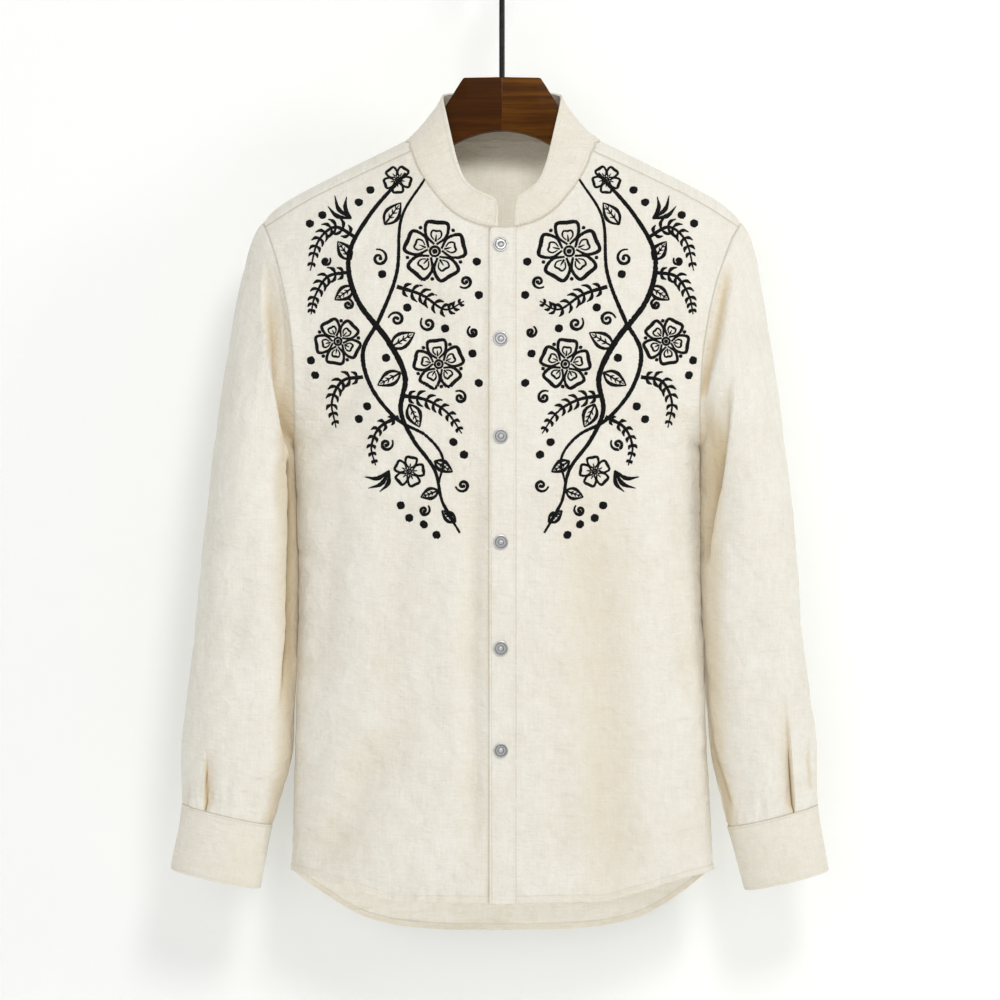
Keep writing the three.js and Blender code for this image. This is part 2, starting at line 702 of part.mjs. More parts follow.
// Directions out of a tube's rings. At the armhole they point away from the middle of the opening.
function tubeNormals(rings) {
  return rings.map((ring, r) => {
    const middle = middleOf(ring);
    return ring.map((p, c) => {
      const round = ring[(c + 1) % ring.length].clone().sub(ring[(c + ring.length - 1) % ring.length]);
      const along = rings[Math.min(rings.length - 1, r + 1)][c].clone().sub(rings[Math.max(0, r - 1)][c]);
      const normal = round.cross(along).normalize();
      return normal.dot(p.clone().sub(middle)) < 0 ? normal.negate() : normal;
    });
  });
}

function sleeve(side) {
  const rings = sleeveRings(side);
  trim(rings, { bottom: true });
  const normals = tubeNormals(rings);
  normals[0].forEach((normal) => normal.setX(0).normalize());
  return wall(`sleeve_${sideName(side)}`, rings, normals, LINEN, { closed: true });
}

// A cuff is one band whose ends lap over each other at the back of the wrist.
function cuff(side) {
  const rings = [];
  const proud = [];
  for (let r = 0; r <= CUFF_ROWS; r += 1) {
    const section = sleeveSection(side, mix(CUFF_SEAM, CUFF_SEAM + 1, r / CUFF_ROWS));
    const ring = [];
    for (let i = 0; i <= CUFF_STEPS; i += 1) {
      ring.push(sleevePoint(side, section, -CUFF_OPENING + (i * (2 * Math.PI + CUFF_LAP)) / CUFF_STEPS));
    }
    rings.push(ring);
  }
  for (let i = 0; i <= CUFF_STEPS; i += 1) {
    const past = (i * (2 * Math.PI + CUFF_LAP)) / CUFF_STEPS - 2 * Math.PI + CUFF_LAP;
    proud.push(CUFF_PROUD + (FOLDED + 2 * GAP) * clamp(past / CUFF_LAP, 0, 1));
  }
  trim(rings, { top: true });
  const normals = gridNormals(rings, rings.map((ring) => middleOf(ring)));
  const raised = (p, r, c) => p.clone().addScaledVector(normals[r][c], proud[c]);
  const lifted = rings.map((ring, r) => ring.map((p, c) => raised(p, r, c)));
  return wall(`cuff_${sideName(side)}`, lifted, normals, LINEN, { outer: 0, inner: -FOLDED });
}

// The strip that finishes the slit above the cuff, on the sleeve's outer back.
function sleevePlacket(side) {
  const points = [];
  for (let r = 0; r <= SLIT.rows; r += 1) {
    const section = sleeveSection(side, CUFF_SEAM - (SLIT.rise * r) / SLIT.rows);
    const angles = [-1, 0, 1].map((c) => CUFF_LAP / 2 - CUFF_OPENING + (c * SLIT.width) / 2);
    points.push(angles.map((angle) => sleevePoint(side, section, angle)));
  }
  const middles = points.map((_, r) => {
    const { outX, inX } = sleeveSection(side, CUFF_SEAM - (SLIT.rise * r) / SLIT.rows);
    return new THREE.Vector3((side * (outX + inX)) / 2, 0, 0);
  });
  trim(points, { top: true });
  const limits = { outer: SLIT.proud + CLOTH, inner: SLIT.proud };
  return wall(`sleeve_placket_${sideName(side)}`, points, gridNormals(points, middles), LINEN, limits);
}

// ---------------------------------------------------------------- buttons

// A metal button with a raised rim and a low boss, lying on a surface.
function button(name, place, normal, radius) {
  const { thick, rim } = BUTTON;
  const profile = [
    [0, 0],
    [radius - 1.2, 0],
    [radius, 0.9],
    [radius - 0.3, thick],
    [radius - rim - 0.4, thick],
    [radius - rim - 1, thick - 0.7],
    [radius * 0.35, thick - 0.6],
    [0, thick - 0.2],
  ].map(([r, h]) => new THREE.Vector2(r, h));
  const mesh = new THREE.Mesh(new THREE.LatheGeometry(profile, 14), METAL);
  mesh.name = name;
  mesh.position.copy(place);
  mesh.quaternion.setFromUnitVectors(new THREE.Vector3(0, 1, 0), normal);
  return mesh;
}

function frontButtons() {
  return BUTTON_HEIGHTS.map((z, i) => {
    const normal = formNormal(1, -1, 0, z).setX(0).normalize();
    const place = form(1, -1, 0, z).setX(BUTTON_X).addScaledVector(normal, PLACKET.thick + 3 * GAP);
    return button(`button_${i + 1}`, place, normal, BUTTON.radius);
  });
}

function cuffButton(side) {
  const section = sleeveSection(side, CUFF_SEAM + 0.45);
  const angle = -CUFF_OPENING + CUFF_LAP * 0.55;
  const place = sleevePoint(side, section, angle);
  const near = sleevePoint(side, section, angle + 0.05).sub(sleevePoint(side, section, angle - 0.05));
  const down = sleevePoint(side, sleeveSection(side, CUFF_SEAM + 0.95), angle).sub(place);
  const normal = near.cross(down).normalize();
  if (normal.y < 0) normal.negate();
  place.addScaledVector(normal, CUFF_PROUD + FOLDED + 5 * GAP);
  return button(`cuff_button_${sideName(side)}`, place, normal, CUFF_BUTTON_RADIUS);
}

// ---------------------------------------------------------------- hanger

// Height of the arm's upper edge: the shaped middle, then just under the shoulder line.
function armTop(x) {
  const [, flat, shoulder, neck] = HANGER_EDGE;
  if (x <= flat.x) return mix(HANGER_EDGE[0].z, flat.z, x / flat.x);
  if (x <= shoulder.x) return mix(flat.z, shoulder.z, (x - flat.x) / (shoulder.x - flat.x));
  if (x <= neck.x) return mix(shoulder.z, neck.z, (x - shoulder.x) / (neck.x - shoulder.x));
  const byWidth = SHOULDER.map((row) => ({ x: row.right, z: row.z }));
  return read(byWidth, "x", "z", x) - HANGER.below;
}

// Height of its lower edge: an arch in the middle, then a straight slope.
function armBottom(x) {
  const { archTop, archRadius, armSlope } = HANGER;
  const turn = archRadius * Math.sin(Math.atan(armSlope));
  const arch = (d) => archTop - archRadius + Math.sqrt(archRadius ** 2 - d ** 2);
  return x < turn ? arch(x) : arch(turn) - armSlope * (x - turn);
}

function hangerHalf(side) {
  const position = [];
  const sides = 10;
  for (const { x, half } of ARM) {
    const [top, bottom] = [armTop(x), armBottom(x)];
    const ease = Math.min(half * 0.45, (top - bottom) * 0.3);
    const end = x > HANGER.tip ? HANGER.tipDrop : 0;
    const outline = [
      [-half, bottom + ease],
      [-half + ease, bottom],
      [0, bottom],
      [half - ease, bottom],
      [half, bottom + ease],
      [half, top - ease - end],
      [half - ease, top - end],
      [0, top - end],
      [-half + ease, top - end],
      [-half, top - ease - end],
    ];
    outline.forEach(([y, z]) => position.push(side * x, y, z));
  }
  const index = [];
  const last = ARM.length - 1;
  for (let r = 0; r < last; r += 1) {
    for (let c = 0; c < sides; c += 1) {
      const [a, b] = [r * sides + c, r * sides + ((c + 1) % sides)];
      index.push(a, b, b + sides, a, b + sides, a + sides);
    }
  }
  for (let c = 1; c < sides - 1; c += 1) {
    index.push(0, c + 1, c);
    index.push(last * sides, last * sides + c, last * sides + c + 1);
  }
  return solid(`hanger_${sideName(side)}`, position, index, WOOD);
}

// The hook: a straight stem, a slight swing to one side, then most of a circle.
function hook() {
  const radius = HOOK.inner + HOOK.wire;
  const onCircle = (degrees) => {
    const turn = THREE.MathUtils.degToRad(degrees);
    return new THREE.Vector3(radius * Math.cos(turn), 0, -HOOK.inner + radius * Math.sin(turn));
  };
  const join = onCircle(HOOK.start);
  const turn = THREE.MathUtils.degToRad(HOOK.start);
  const tangent = new THREE.Vector3(-Math.sin(turn), 0, Math.cos(turn));
  const stemTop = new THREE.Vector3(0, 0, HOOK.stemTop);
  const path = new THREE.CurvePath();
  path.add(new THREE.LineCurve3(new THREE.Vector3(0, 0, HANGER.top + GAP), stemTop));
  const lean = stemTop.clone().add(new THREE.Vector3(0, 0, HOOK.swing));
  const entry = join.clone().addScaledVector(tangent, -HOOK.swing);
  path.add(new THREE.CubicBezierCurve3(stemTop, lean, entry, join));
  const arc = [];
  for (let i = 0; i <= HOOK.stations; i += 1) {
    arc.push(onCircle(mix(HOOK.start, HOOK.end, i / HOOK.stations)));
  }
  path.add(new THREE.CatmullRomCurve3(arc));
  const section = new THREE.Shape().absarc(0, 0, HOOK.wire, 0, 2 * Math.PI);
  const geometry = new THREE.ExtrudeGeometry(section, { steps: 48, curveSegments: 5, extrudePath: path });
  const mesh = new THREE.Mesh(geometry, BLACK);
  mesh.name = "hook";
  return mesh;
}

// ---------------------------------------------------------------- the whole object

const shirt = new THREE.Group();
shirt.add(front(-1), front(1), placket(), back(), yoke(), collar());
for (const side of [-1, 1]) {
  shirt.add(sleeve(side), cuff(side), sleevePlacket(side), cuffButton(side), hangerHalf(side));
}
shirt.add(...frontButtons(), hook());

export default shirt;
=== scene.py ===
# %% [markdown]
# # A band-collar linen shirt on a wooden hanger
# The shirt hangs closed on a dark wooden hanger. Its cloth is one thin layer of cream linen, with a
# standing collar, a folded button band, a yoke over the shoulders, and long sleeves that end in pleats and
# cuffs. Black satin stitch grows over both fronts. The packed model fixes every size, so the first cell
# loads it, and each piece made here stands for the plain solids of the same name.

# %% Load the fixed frame
import json
import math

import bmesh
import bpy
import numpy as np
from mathutils import Matrix, Vector
from mathutils.bvhtree import BVHTree

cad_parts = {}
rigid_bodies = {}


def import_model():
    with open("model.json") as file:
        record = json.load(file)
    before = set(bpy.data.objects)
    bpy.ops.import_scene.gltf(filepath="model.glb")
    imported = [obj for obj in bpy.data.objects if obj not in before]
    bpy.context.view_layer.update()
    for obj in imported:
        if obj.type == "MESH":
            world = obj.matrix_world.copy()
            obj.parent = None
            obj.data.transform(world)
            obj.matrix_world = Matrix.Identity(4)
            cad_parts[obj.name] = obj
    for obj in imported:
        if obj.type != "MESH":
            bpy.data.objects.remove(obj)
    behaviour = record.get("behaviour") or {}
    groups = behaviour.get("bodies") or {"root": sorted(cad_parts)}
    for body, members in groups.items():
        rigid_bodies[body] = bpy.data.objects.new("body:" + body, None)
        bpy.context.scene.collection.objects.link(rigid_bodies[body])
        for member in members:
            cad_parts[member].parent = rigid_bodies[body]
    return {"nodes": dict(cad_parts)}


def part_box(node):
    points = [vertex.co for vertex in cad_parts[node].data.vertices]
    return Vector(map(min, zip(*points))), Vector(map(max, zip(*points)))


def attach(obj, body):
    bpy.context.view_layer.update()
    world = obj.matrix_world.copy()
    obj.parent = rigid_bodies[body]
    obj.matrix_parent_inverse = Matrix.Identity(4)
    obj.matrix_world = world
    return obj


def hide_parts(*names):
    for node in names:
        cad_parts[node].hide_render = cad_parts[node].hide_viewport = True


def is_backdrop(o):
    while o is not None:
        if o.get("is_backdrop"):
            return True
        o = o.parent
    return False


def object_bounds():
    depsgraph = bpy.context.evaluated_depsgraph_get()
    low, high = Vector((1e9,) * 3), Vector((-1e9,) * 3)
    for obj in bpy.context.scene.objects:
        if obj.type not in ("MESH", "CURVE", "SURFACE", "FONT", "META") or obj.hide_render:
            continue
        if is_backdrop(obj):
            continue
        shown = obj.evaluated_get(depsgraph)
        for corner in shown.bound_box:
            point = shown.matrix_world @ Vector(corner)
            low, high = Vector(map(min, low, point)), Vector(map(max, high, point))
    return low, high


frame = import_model()
cad_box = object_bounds()
MM = 0.001


def placed(name, data):
    """A new object in the scene."""
    made = bpy.data.objects.new(name, data)
    bpy.context.scene.collection.objects.link(made)
    return made


print(len(frame["nodes"]), "nodes in a box", [round(v, 3) for corner in cad_box for v in corner])

# %% [markdown]
# ## Camera
# The shirt is seen square on from three metres, from the height of its middle, so its edges don't splay.
# The lens is worked out from how much of the scene has to fit: 0.95 m, side to side, at the front of the
# shirt.

# %% Camera
CAMERA_DISTANCE, VIEW_WIDTH, SENSOR = 3.0, 0.95, 36.0  # metres, metres, and millimetres
VIEW_X, VIEW_Z = -0.0019, -0.5689  # the middle of the view
SHIRT_FRONT = -0.06  # where the view is 0.95 m wide

camera_data = bpy.data.cameras.new("camera")
camera_data.sensor_width = SENSOR
camera_data.lens = SENSOR * CAMERA_DISTANCE / VIEW_WIDTH
camera = placed("camera", camera_data)
camera.location = (VIEW_X, SHIRT_FRONT - CAMERA_DISTANCE, VIEW_Z)
camera.rotation_euler = (math.radians(90), 0, 0)
bpy.context.scene.camera = camera
bpy.context.scene.view_settings.view_transform = "Standard"
print("lens", round(camera_data.lens, 1), "mm")

# %% [markdown]
# ## The shirt's form, as tables
# A hanging shirt is smooth, so a few rows are enough to hold its shape: how wide it is at each height, how
# deep, and where each seam and hem runs. Every table is in millimetres and is read on a curve that passes
# through its rows without overshooting, which keeps straight edges straight.

# %% Driving sizes and tables
ROUND = 2.6  # how square the body's level sections are: 2 is an ellipse
SHOULDER_TIP, UNDERARM = -301, -518  # heights of the top and the bottom of the armhole
FRONT, BACK = -1, 1  # faces
RIGHT, LEFT = -1, 1  # the wearer's sides
ARMHOLE_REACH = {FRONT: 50, BACK: 56}  # how far the armhole reaches forward and back
FRONT_SEAM_END, BACK_SEAM_END = -306, -322
BACK_SEAM_RISE, BACK_SEAM_HALF = 4, 230
NECK_CORNER, NECK_TOP, NECK_BACK = 86.6, -219, -215.2
PLACKET_RIGHT, PLACKET_LEFT = -12, 13.6
UNDERLAP = 10.5
SIDE_END = -926

SHOULDER = dict(z=[-205, -219, -234.5, -250.5, -266.5, -280, -291, -301],
                right=[66, 88.5, 119, 151, 183, 207, 222, 231],
                left=[68, 90, 121, 153, 184, 208, 222, 231])
ARMHOLE = dict(z=[-301, -306, -317, -336, -362, -392, -436, -473, -518],
               right=[231, 228.5, 223.5, 217, 210, 204, 199.5, 198.5, 200],
               left=[231, 228, 221.5, 213.5, 204.5, 197.5, 191, 189.5, 190.6])
SIDE = dict(z=[-518, -570, -640, -720, -800, -926, -1000],
            right=[200, 197.5, 196.2, 197.5, 199.5, 203, 205],
            left=[190.6, 191, 192, 194.5, 197.5, 204.5, 208])
DEPTH = dict(z=[-205, -219, -260, -303, -360, -440, -520, -620, -720, -820, -926, -1000],
             front=[28, 32, 40, 48, 58, 67, 71, 70, 67, 62, 56, 54],
             back=[42, 44, 50, 55, 63, 71, 74, 72, 67, 60, 54, 52])
NECKLINE = dict(x=[0, 12, 24, 36, 50, 64, 75, 82, 86.6],
                z=[-309.6, -308.4, -305.3, -300.6, -291.2, -275.5, -260, -247, -233.5])
SHOULDER_SEAM = dict(x=[86.6, 115, 145, 175, 198, 215, 228.5],
                     z=[-233.5, -246.5, -260.5, -275, -287.5, -298, -306])
FRONT_HEM = dict(x=[0, 50, 95, 125, 155, 180, 205],
                 z=[-953, -951.5, -952, -944.5, -936, -929.5, -926])
BACK_HEM = dict(x=[0, 50, 91, 130, 157, 175, 190, 205],
                z=[-992.5, -992, -989, -980, -966, -953, -941, -926])

print("from shoulder to side hem:", SHOULDER_TIP - SIDE_END, "mm")

# %% Read a table
def read(table, by, column, place):
    """A column's value at a place down a table, on a curve that never overshoots its rows."""
    x, y = np.array(table[by], float), np.array(table[column], float)
    if x[0] > x[-1]:
        x, y = x[::-1], y[::-1]
    slope = np.diff(y) / np.diff(x)
    before, after = slope[:-1], slope[1:]
    same = before * after > 0
    middle = np.where(same, 2 * before * after / np.where(same, before + after, 1), 0)
    tangent = np.concatenate([slope[:1], middle, slope[-1:]])
    place = np.clip(np.asarray(place, float), x[0], x[-1])
    i = np.clip(np.searchsorted(x, place, side="right") - 1, 0, len(x) - 2)
    step = x[i + 1] - x[i]
    t = (place - x[i]) / step
    bend = step * t * (1 - t) * (tangent[i] * (1 - t) - tangent[i + 1] * t)
    return y[i] * (1 + 2 * t) * (1 - t) ** 2 + y[i + 1] * t * t * (3 - 2 * t) + bend


def mix(a, b, t):
    return a + (b - a) * t


def ease(t):
    """0 before, 1 after, and a smooth step between."""
    t = np.clip(t, 0, 1)
    return t * t * (3 - 2 * t)


def bell(distance, width):
    """1 at a distance of 0, and next to nothing from two widths on."""
    return np.exp(-(distance / width) ** 2)


print("half width at the chest:", round(float(read(SIDE, "z", "right", -600)), 1), "mm")

# %% [markdown]
# ## From the tables to a surface
# Each level section of the body is a rounded square. The armhole cuts its side away, so the section is made
# as if it went on and then stopped short. An angle from 0, at the centre, to a right angle, at the side
# seam, says where on the section a point lies. Cloth doesn't stretch, so the columns of a panel are placed
# by the length of cloth between them, not by the angle.

# %% The body's surface
QUARTER = math.pi / 2
SLICES = 60  # steps in which the cloth's length round a quarter is summed


def section(side, face, z):
    """Half width, width if it closed, depth, and the angle where the armhole cuts a level section."""
    z = np.asarray(z, float)
    column = "right" if side < 0 else "left"
    depth = np.where(np.asarray(face) < 0, read(DEPTH, "z", "front", z), read(DEPTH, "z", "back", z))
    half = np.where(z >= SHOULDER_TIP, read(SHOULDER, "z", column, z),
                    np.where(z <= UNDERARM, read(SIDE, "z", column, z), read(ARMHOLE, "z", column, z)))
    t = np.clip((2 * z - SHOULDER_TIP - UNDERARM) / (SHOULDER_TIP - UNDERARM), -1, 1)
    reach = np.where(np.asarray(face) < 0, ARMHOLE_REACH[FRONT], ARMHOLE_REACH[BACK])
    lip = np.sqrt(1 - t * t) * reach / depth
    across = (1 - lip ** ROUND) ** (1 / ROUND)
    return half, half / across, depth, np.arctan2(across, lip)


def form(side, face, angle, z):
    """A point of the outer surface."""
    _, wide, depth, end = section(side, face, z)
    turn = np.asarray(angle) * end / QUARTER
    s, c = np.sin(turn), np.maximum(np.cos(turn), 0)
    size = (s ** ROUND + c ** ROUND) ** (1 / ROUND)
    return np.stack([side * wide * s / size, face * depth * c / size, np.asarray(z) + 0 * s], -1)


def angle_of_x(side, face, x, z):
    """The angle of a place that is given by its distance from the centre."""
    _, wide, _, end = section(side, face, z)
    across = np.clip(x / wide, 0, 1)
    return np.arctan2(across, (1 - across ** ROUND) ** (1 / ROUND)) * QUARTER / end


def angle_along(side, face, z, start, part):
    """The angle of a place part of the way round the cloth, from a distance beside the centre."""
    z, part = np.broadcast_arrays(np.asarray(z, float), np.asarray(part, float))
    flat = z.ravel()
    turns = np.linspace(0, QUARTER, SLICES + 1)
    points = form(side, face, turns[None, :], flat[:, None])
    lengths = np.linalg.norm(np.diff(points, axis=1), axis=2).cumsum(1)
    lengths = np.concatenate([np.zeros((len(flat), 1)), lengths], 1)
    half = section(side, face, flat)[0]
    u = part.ravel()
    target = start + u * (half - start) + u ** 3 * (lengths[:, -1] - half)
    i = np.clip((lengths < target[:, None]).sum(1), 1, SLICES)
    row = np.arange(len(flat))
    low, high = lengths[row, i - 1], lengths[row, i]
    angle = (i - 1 + (target - low) / (high - low)) * QUARTER / SLICES
    return np.where(target <= 0, 0, angle).reshape(z.shape)


print("side seam at the chest:", form(RIGHT, FRONT, QUARTER, -600.0).round(1))

# %% [markdown]
# ## Shader maths
# A finish is made of nodes, and most of them are arithmetic. So a small class wraps a node's output and
# lets it be written as plain maths: each operator adds its Math node. One method of the finish adds any
# other node.

# %% Nodes as expressions
class Value:
    """One output in a finish's nodes, to do maths with."""

    def __init__(self, finish, socket):
        self.finish, self.socket = finish, socket

    def math(self, operation, *values):
        return self.finish.node("Math", dict(operation=operation), list(values))

    def __add__(self, other): return self.math("ADD", self, other)
    def __radd__(self, other): return self.math("ADD", other, self)
    def __sub__(self, other): return self.math("SUBTRACT", self, other)
    def __rsub__(self, other): return self.math("SUBTRACT", other, self)
    def __mul__(self, other): return self.math("MULTIPLY", self, other)
    def __rmul__(self, other): return self.math("MULTIPLY", other, self)

    def clamp(self): return self.finish.node("Clamp", {}, [self])
    def sine(self): return self.math("SINE", self)
    def size(self): return self.math("ABSOLUTE", self)

    def between(self, low, high):
        """0 below low, 1 above high, and smooth in between."""
        return self.finish.node("MapRange", dict(interpolation_type="SMOOTHSTEP"), [self, low, high])


print("maths:", [name for name in vars(Value) if name[0] != "_"])

# %% A finish and its nodes
class Finish:
    """A material, and short ways to add nodes to it."""

    def __init__(self, name, **fixed):
        self.material = bpy.data.materials.new(name)
        self.material.use_nodes = True
        self.tree = self.material.node_tree
        self.shader = self.tree.nodes["Principled BSDF"]
        for socket, value in fixed.items():
            self.shader.inputs[socket.replace("_", " ")].default_value = value

    def put(self, socket, value):
        if isinstance(value, Value):
            self.tree.links.new(value.socket, socket)
        else:
            socket.default_value = value

    def node(self, kind, settings=None, inputs=(), output=0):
        """Any node: its kind, its settings first, then values or links by place or by name."""
        made = self.tree.nodes.new("ShaderNode" + kind)
        for name, value in (settings or {}).items():
            setattr(made, name, value)
        for key, value in (inputs.items() if isinstance(inputs, dict) else enumerate(inputs)):
            self.put(made.inputs[key], value)
        return Value(self, made.outputs[output])

    def objects(self): return self.node("TexCoord", output="Object")
    def cloth(self): return self.node("UVMap", dict(uv_map="cloth"))
    def named(self, name): return self.node("Attribute", dict(attribute_name=name), output="Fac")

    def scaled(self, place, scale, turn=(0, 0, 0)):
        return self.node("Mapping", {}, dict(Vector=place, Rotation=turn, Scale=scale))

    def parts(self, place):
        """The x, y and z of a place."""
        split = self.node("SeparateXYZ", {}, [place])
        return [Value(self, socket) for socket in split.socket.node.outputs]

    def noise(self, scale, detail, roughness=0.5, place=None):
        """Noise in the object's own space, or over another place."""
        place = place or self.objects()
        return self.node("TexNoise", {}, dict(Vector=place, Scale=scale, Detail=detail, Roughness=roughness))

    def blend(self, factor, first, second):
        """Two colours mixed."""
        colour = lambda c: c if isinstance(c, Value) else (*c, 1)
        return self.node("Mix", dict(data_type="RGBA"), {0: factor, 6: colour(first), 7: colour(second)}, 2)

    def look(self, colour, roughness, height, distance, strength):
        """Set the base colour, the roughness, and a bump of a height that goes this deep."""
        bump = self.node("Bump", {}, dict(Strength=strength, Distance=distance, Height=height))
        for socket, value in (("Base Color", colour), ("Roughness", roughness), ("Normal", bump)):
            self.put(self.shader.inputs[socket], value)
        return self.material


print("nodes:", [name for name in vars(Finish) if name[0] != "_"])

# %% [markdown]
# ## Linen
# Linen is spun from uneven flax: here and there a thread is thick, and shows as a streak down or across the
# cloth. The streaks, the weave and soft mottling read the cloth's own map, so they follow each piece as it
# was cut. Beside a sewn edge the cloth is painted a little darker, as a line partly of painted shade in its
# groove. Folds, creases, hems and double layers get painted shade too. Thin linen lets some light through,
# so it has a painted glow of its own colour, stronger in the folds, and its inner side a little more.

# %% The linen
LINEN_LIGHT, LINEN_WARM = (0.840, 0.820, 0.755), (0.765, 0.722, 0.625)
# colours of painted shade: at the seams and under the hanger, in folds, and in the sharpest creases
LINEN_SEAM_SHADE, LINEN_FOLD_SHADE, LINEN_CREASE_SHADE = (0.37, 0.335, 0.265), (0.58, 0.47, 0.30), (0.20, 0.15, 0.09)
THREAD = 0.00062  # from one thread to the next, in metres
HANGER_SHADE = (-0.252, -0.229)  # the hanger shades the inside of the neck from here up, in metres
SLUB_WIDTH, SLUB_LENGTH = 0.0019, 0.024


def linen_finish(name, glow, inside):
    """Threads and slubs, soft mottling, painted shade at seams and folds, and a painted glow."""
    finish = Finish(name, Sheen_Weight=0.12, Sheen_Roughness=0.5, Specular_IOR_Level=0.25,
                    Emission_Strength=glow)
    cloth = finish.cloth()
    down = finish.noise(1.0, 2.0, place=finish.scaled(cloth, (1 / SLUB_WIDTH, 1 / SLUB_LENGTH, 1)))
    over = finish.noise(1.0, 2.0, place=finish.scaled(cloth, (1 / SLUB_LENGTH, 1 / SLUB_WIDTH, 1)))
    slubs = down.between(0.42, 0.66) * 0.5 + over.between(0.42, 0.66) * 0.5
    cloudy = finish.noise(15.0, 3.0, 0.6).between(0.3, 0.7)
    across, along, _ = finish.parts(cloth)
    weave = (across * (2 * math.pi / THREAD)).sine() * (along * (2 * math.pi / THREAD)).sine()
    # a darker line near a sewn edge: partly painted shade in the seam's groove, a painted shadow by the band
    seam = 1 - finish.named("seam").between(0.0003, 0.0016)
    streaks = finish.noise(1.0, 4.0, 0.65, finish.scaled(cloth, (110, 60, 1))).between(0.35, 0.7)
    tone = 0.3 - slubs * 0.42 + cloudy * 0.38 + streaks * 0.36
    colour = finish.blend(tone.clamp(), LINEN_LIGHT, LINEN_WARM)
    # the fold attribute is painted shade: tan over folds and hems, dark brown in sharp creases
    fold = finish.named("fold")
    colour = finish.blend((fold * 0.85).clamp(), colour, LINEN_FOLD_SHADE)
    colour = finish.blend(fold.between(0.95, 1.6), colour, LINEN_CREASE_SHADE)
    if inside:
        # painted shadow of the hanger on the inside of the neck
        under_hanger = finish.parts(finish.objects())[2].between(*HANGER_SHADE)
        colour = finish.blend(under_hanger * 0.5, colour, LINEN_SEAM_SHADE)
    wrinkle = finish.noise(44.0, 4.0, 0.6, finish.scaled(finish.objects(), (0.8, 1, 1.35)))
    ridges = 1 - (wrinkle * 2 - 1).size() * 2.2
    # painted light: a glow of the cloth's own colour, brighter in painted folds; inside, none under the
    # hanger
    shown = 1 - under_hanger if inside else fold.clamp() * 0.7 + 0.3
    finish.put(finish.shader.inputs["Emission Color"], finish.blend(shown, (0, 0, 0), colour))
    return finish.look(finish.blend(seam * 0.5, colour, LINEN_SEAM_SHADE), 0.9 - slubs * 0.08,
                       weave * 0.015 + slubs * 0.13 + ridges.clamp(), 0.0015, 0.8)


linen, linen_inside = linen_finish("slub linen", 0.15, False), linen_finish("slub linen, inside", 0.2, True)
print("linen:", len(linen.node_tree.nodes), "nodes")

# %% [markdown]
# ## Thread, wood, metal and lacquer
# The embroidery is black satin stitch: thousands of threads side by side, so its bump runs across each
# ribbon. The hanger is stained walnut with its two arms cut from different boards, so the grain follows
# each arm and the halves differ. The buttons are dull cast metal with dirt in their grooves. The hook is
# glossy black.

# %% The other finishes
STITCH = 0.00052  # from one stitch of the satin to the next


def thread_finish():
    finish = Finish("black satin thread", Specular_IOR_Level=0.12)
    along, across, _ = finish.parts(finish.node("UVMap", dict(uv_map="stitch")))
    slant = (along * (2 * math.pi / STITCH) + across * 2.4).sine()
    worn = finish.noise(160.0, 2.0).between(0.35, 0.7)
    colour = finish.blend(worn * 0.6, (0.003, 0.003, 0.0032), (0.010, 0.0098, 0.0103))
    return finish.look(colour, 0.38 + worn * 0.2, slant, 0.00012, 0.7)


def cream_finish():
    finish = Finish("cream sewing thread", Sheen_Weight=0.2)
    twist = finish.noise(1800.0, 1.0)
    return finish.look(finish.blend(twist, (0.80, 0.75, 0.64), (0.72, 0.66, 0.53)), 0.7, twist, 0.00006, 0.5)


def wood_finish(name, slope, dark, light):
    finish = Finish(name, Specular_IOR_Level=0.05)
    grain = finish.scaled(finish.objects(), (7, 60, 170), (0, slope, 0))
    streaks = finish.noise(1.0, 5.0, 0.62, grain)
    pores = finish.noise(1.0, 2.0, place=finish.scaled(finish.objects(), (40, 900, 1400), (0, slope, 0)))
    tone = finish.noise(14.0, 2.0).between(0.3, 0.7)
    depth = (streaks.between(0.36, 0.66) * 0.75 + tone * 0.25).clamp()
    colour = finish.blend(depth, dark, light)
    fine = pores.between(0.56, 0.7)
    colour = finish.blend(fine * 0.3, colour, tuple(c * 0.5 for c in dark))
    return finish.look(colour, 0.32 + streaks * 0.14, streaks * 0.6 - fine * 0.5, 0.00015, 0.5)


def metal_finish():
    finish = Finish("dull cast metal", Metallic=0.9)
    cast = finish.noise(900.0, 3.0)
    stain = finish.noise(220.0, 2.0).between(0.4, 0.7)
    dirt = finish.named("groove")
    colour = finish.blend(stain * 0.4, (0.56, 0.56, 0.57), (0.44, 0.435, 0.43))
    colour = finish.blend((dirt * 0.55).clamp(), colour, (0.16, 0.155, 0.15))
    return finish.look(colour, 0.34 + stain * 0.14 + dirt * 0.2, cast, 0.00004, 0.5)


def lacquer_finish():
    finish = Finish("black lacquer", Specular_IOR_Level=0.2, Coat_Weight=0.05, Coat_Roughness=0.12)
    rub = finish.noise(70.0, 3.0).between(0.45, 0.75)
    colour = finish.blend(rub * 0.5, (0.007, 0.007, 0.008), (0.02, 0.019, 0.018))
    return finish.look(colour, 0.24 + rub * 0.16, finish.noise(500.0, 2.0), 0.00003, 0.4)


thread, cream_thread = thread_finish(), cream_finish()
wood_dark = wood_finish("walnut, dark board", 0.12, (0.040, 0.0115, 0.0011), (0.078, 0.0245, 0.003))
wood_light = wood_finish("walnut, light board", -0.35, (0.062, 0.0185, 0.0014), (0.165, 0.060, 0.006))
metal = metal_finish()
lacquer = lacquer_finish()
print("finishes:", ", ".join(m.name for m in (thread, cream_thread, wood_dark, wood_light, metal, lacquer)))

# %% [markdown]
# ## Cloth as grids
# Every piece of cloth is a grid of points with a direction out of the cloth at each. The grid is finer
# close to its edges, where cloth turns under at a seam. Distances from the four edges, measured along the
# cloth, say where it dips at its seams, where it puckers, and where its stitches pull it in.

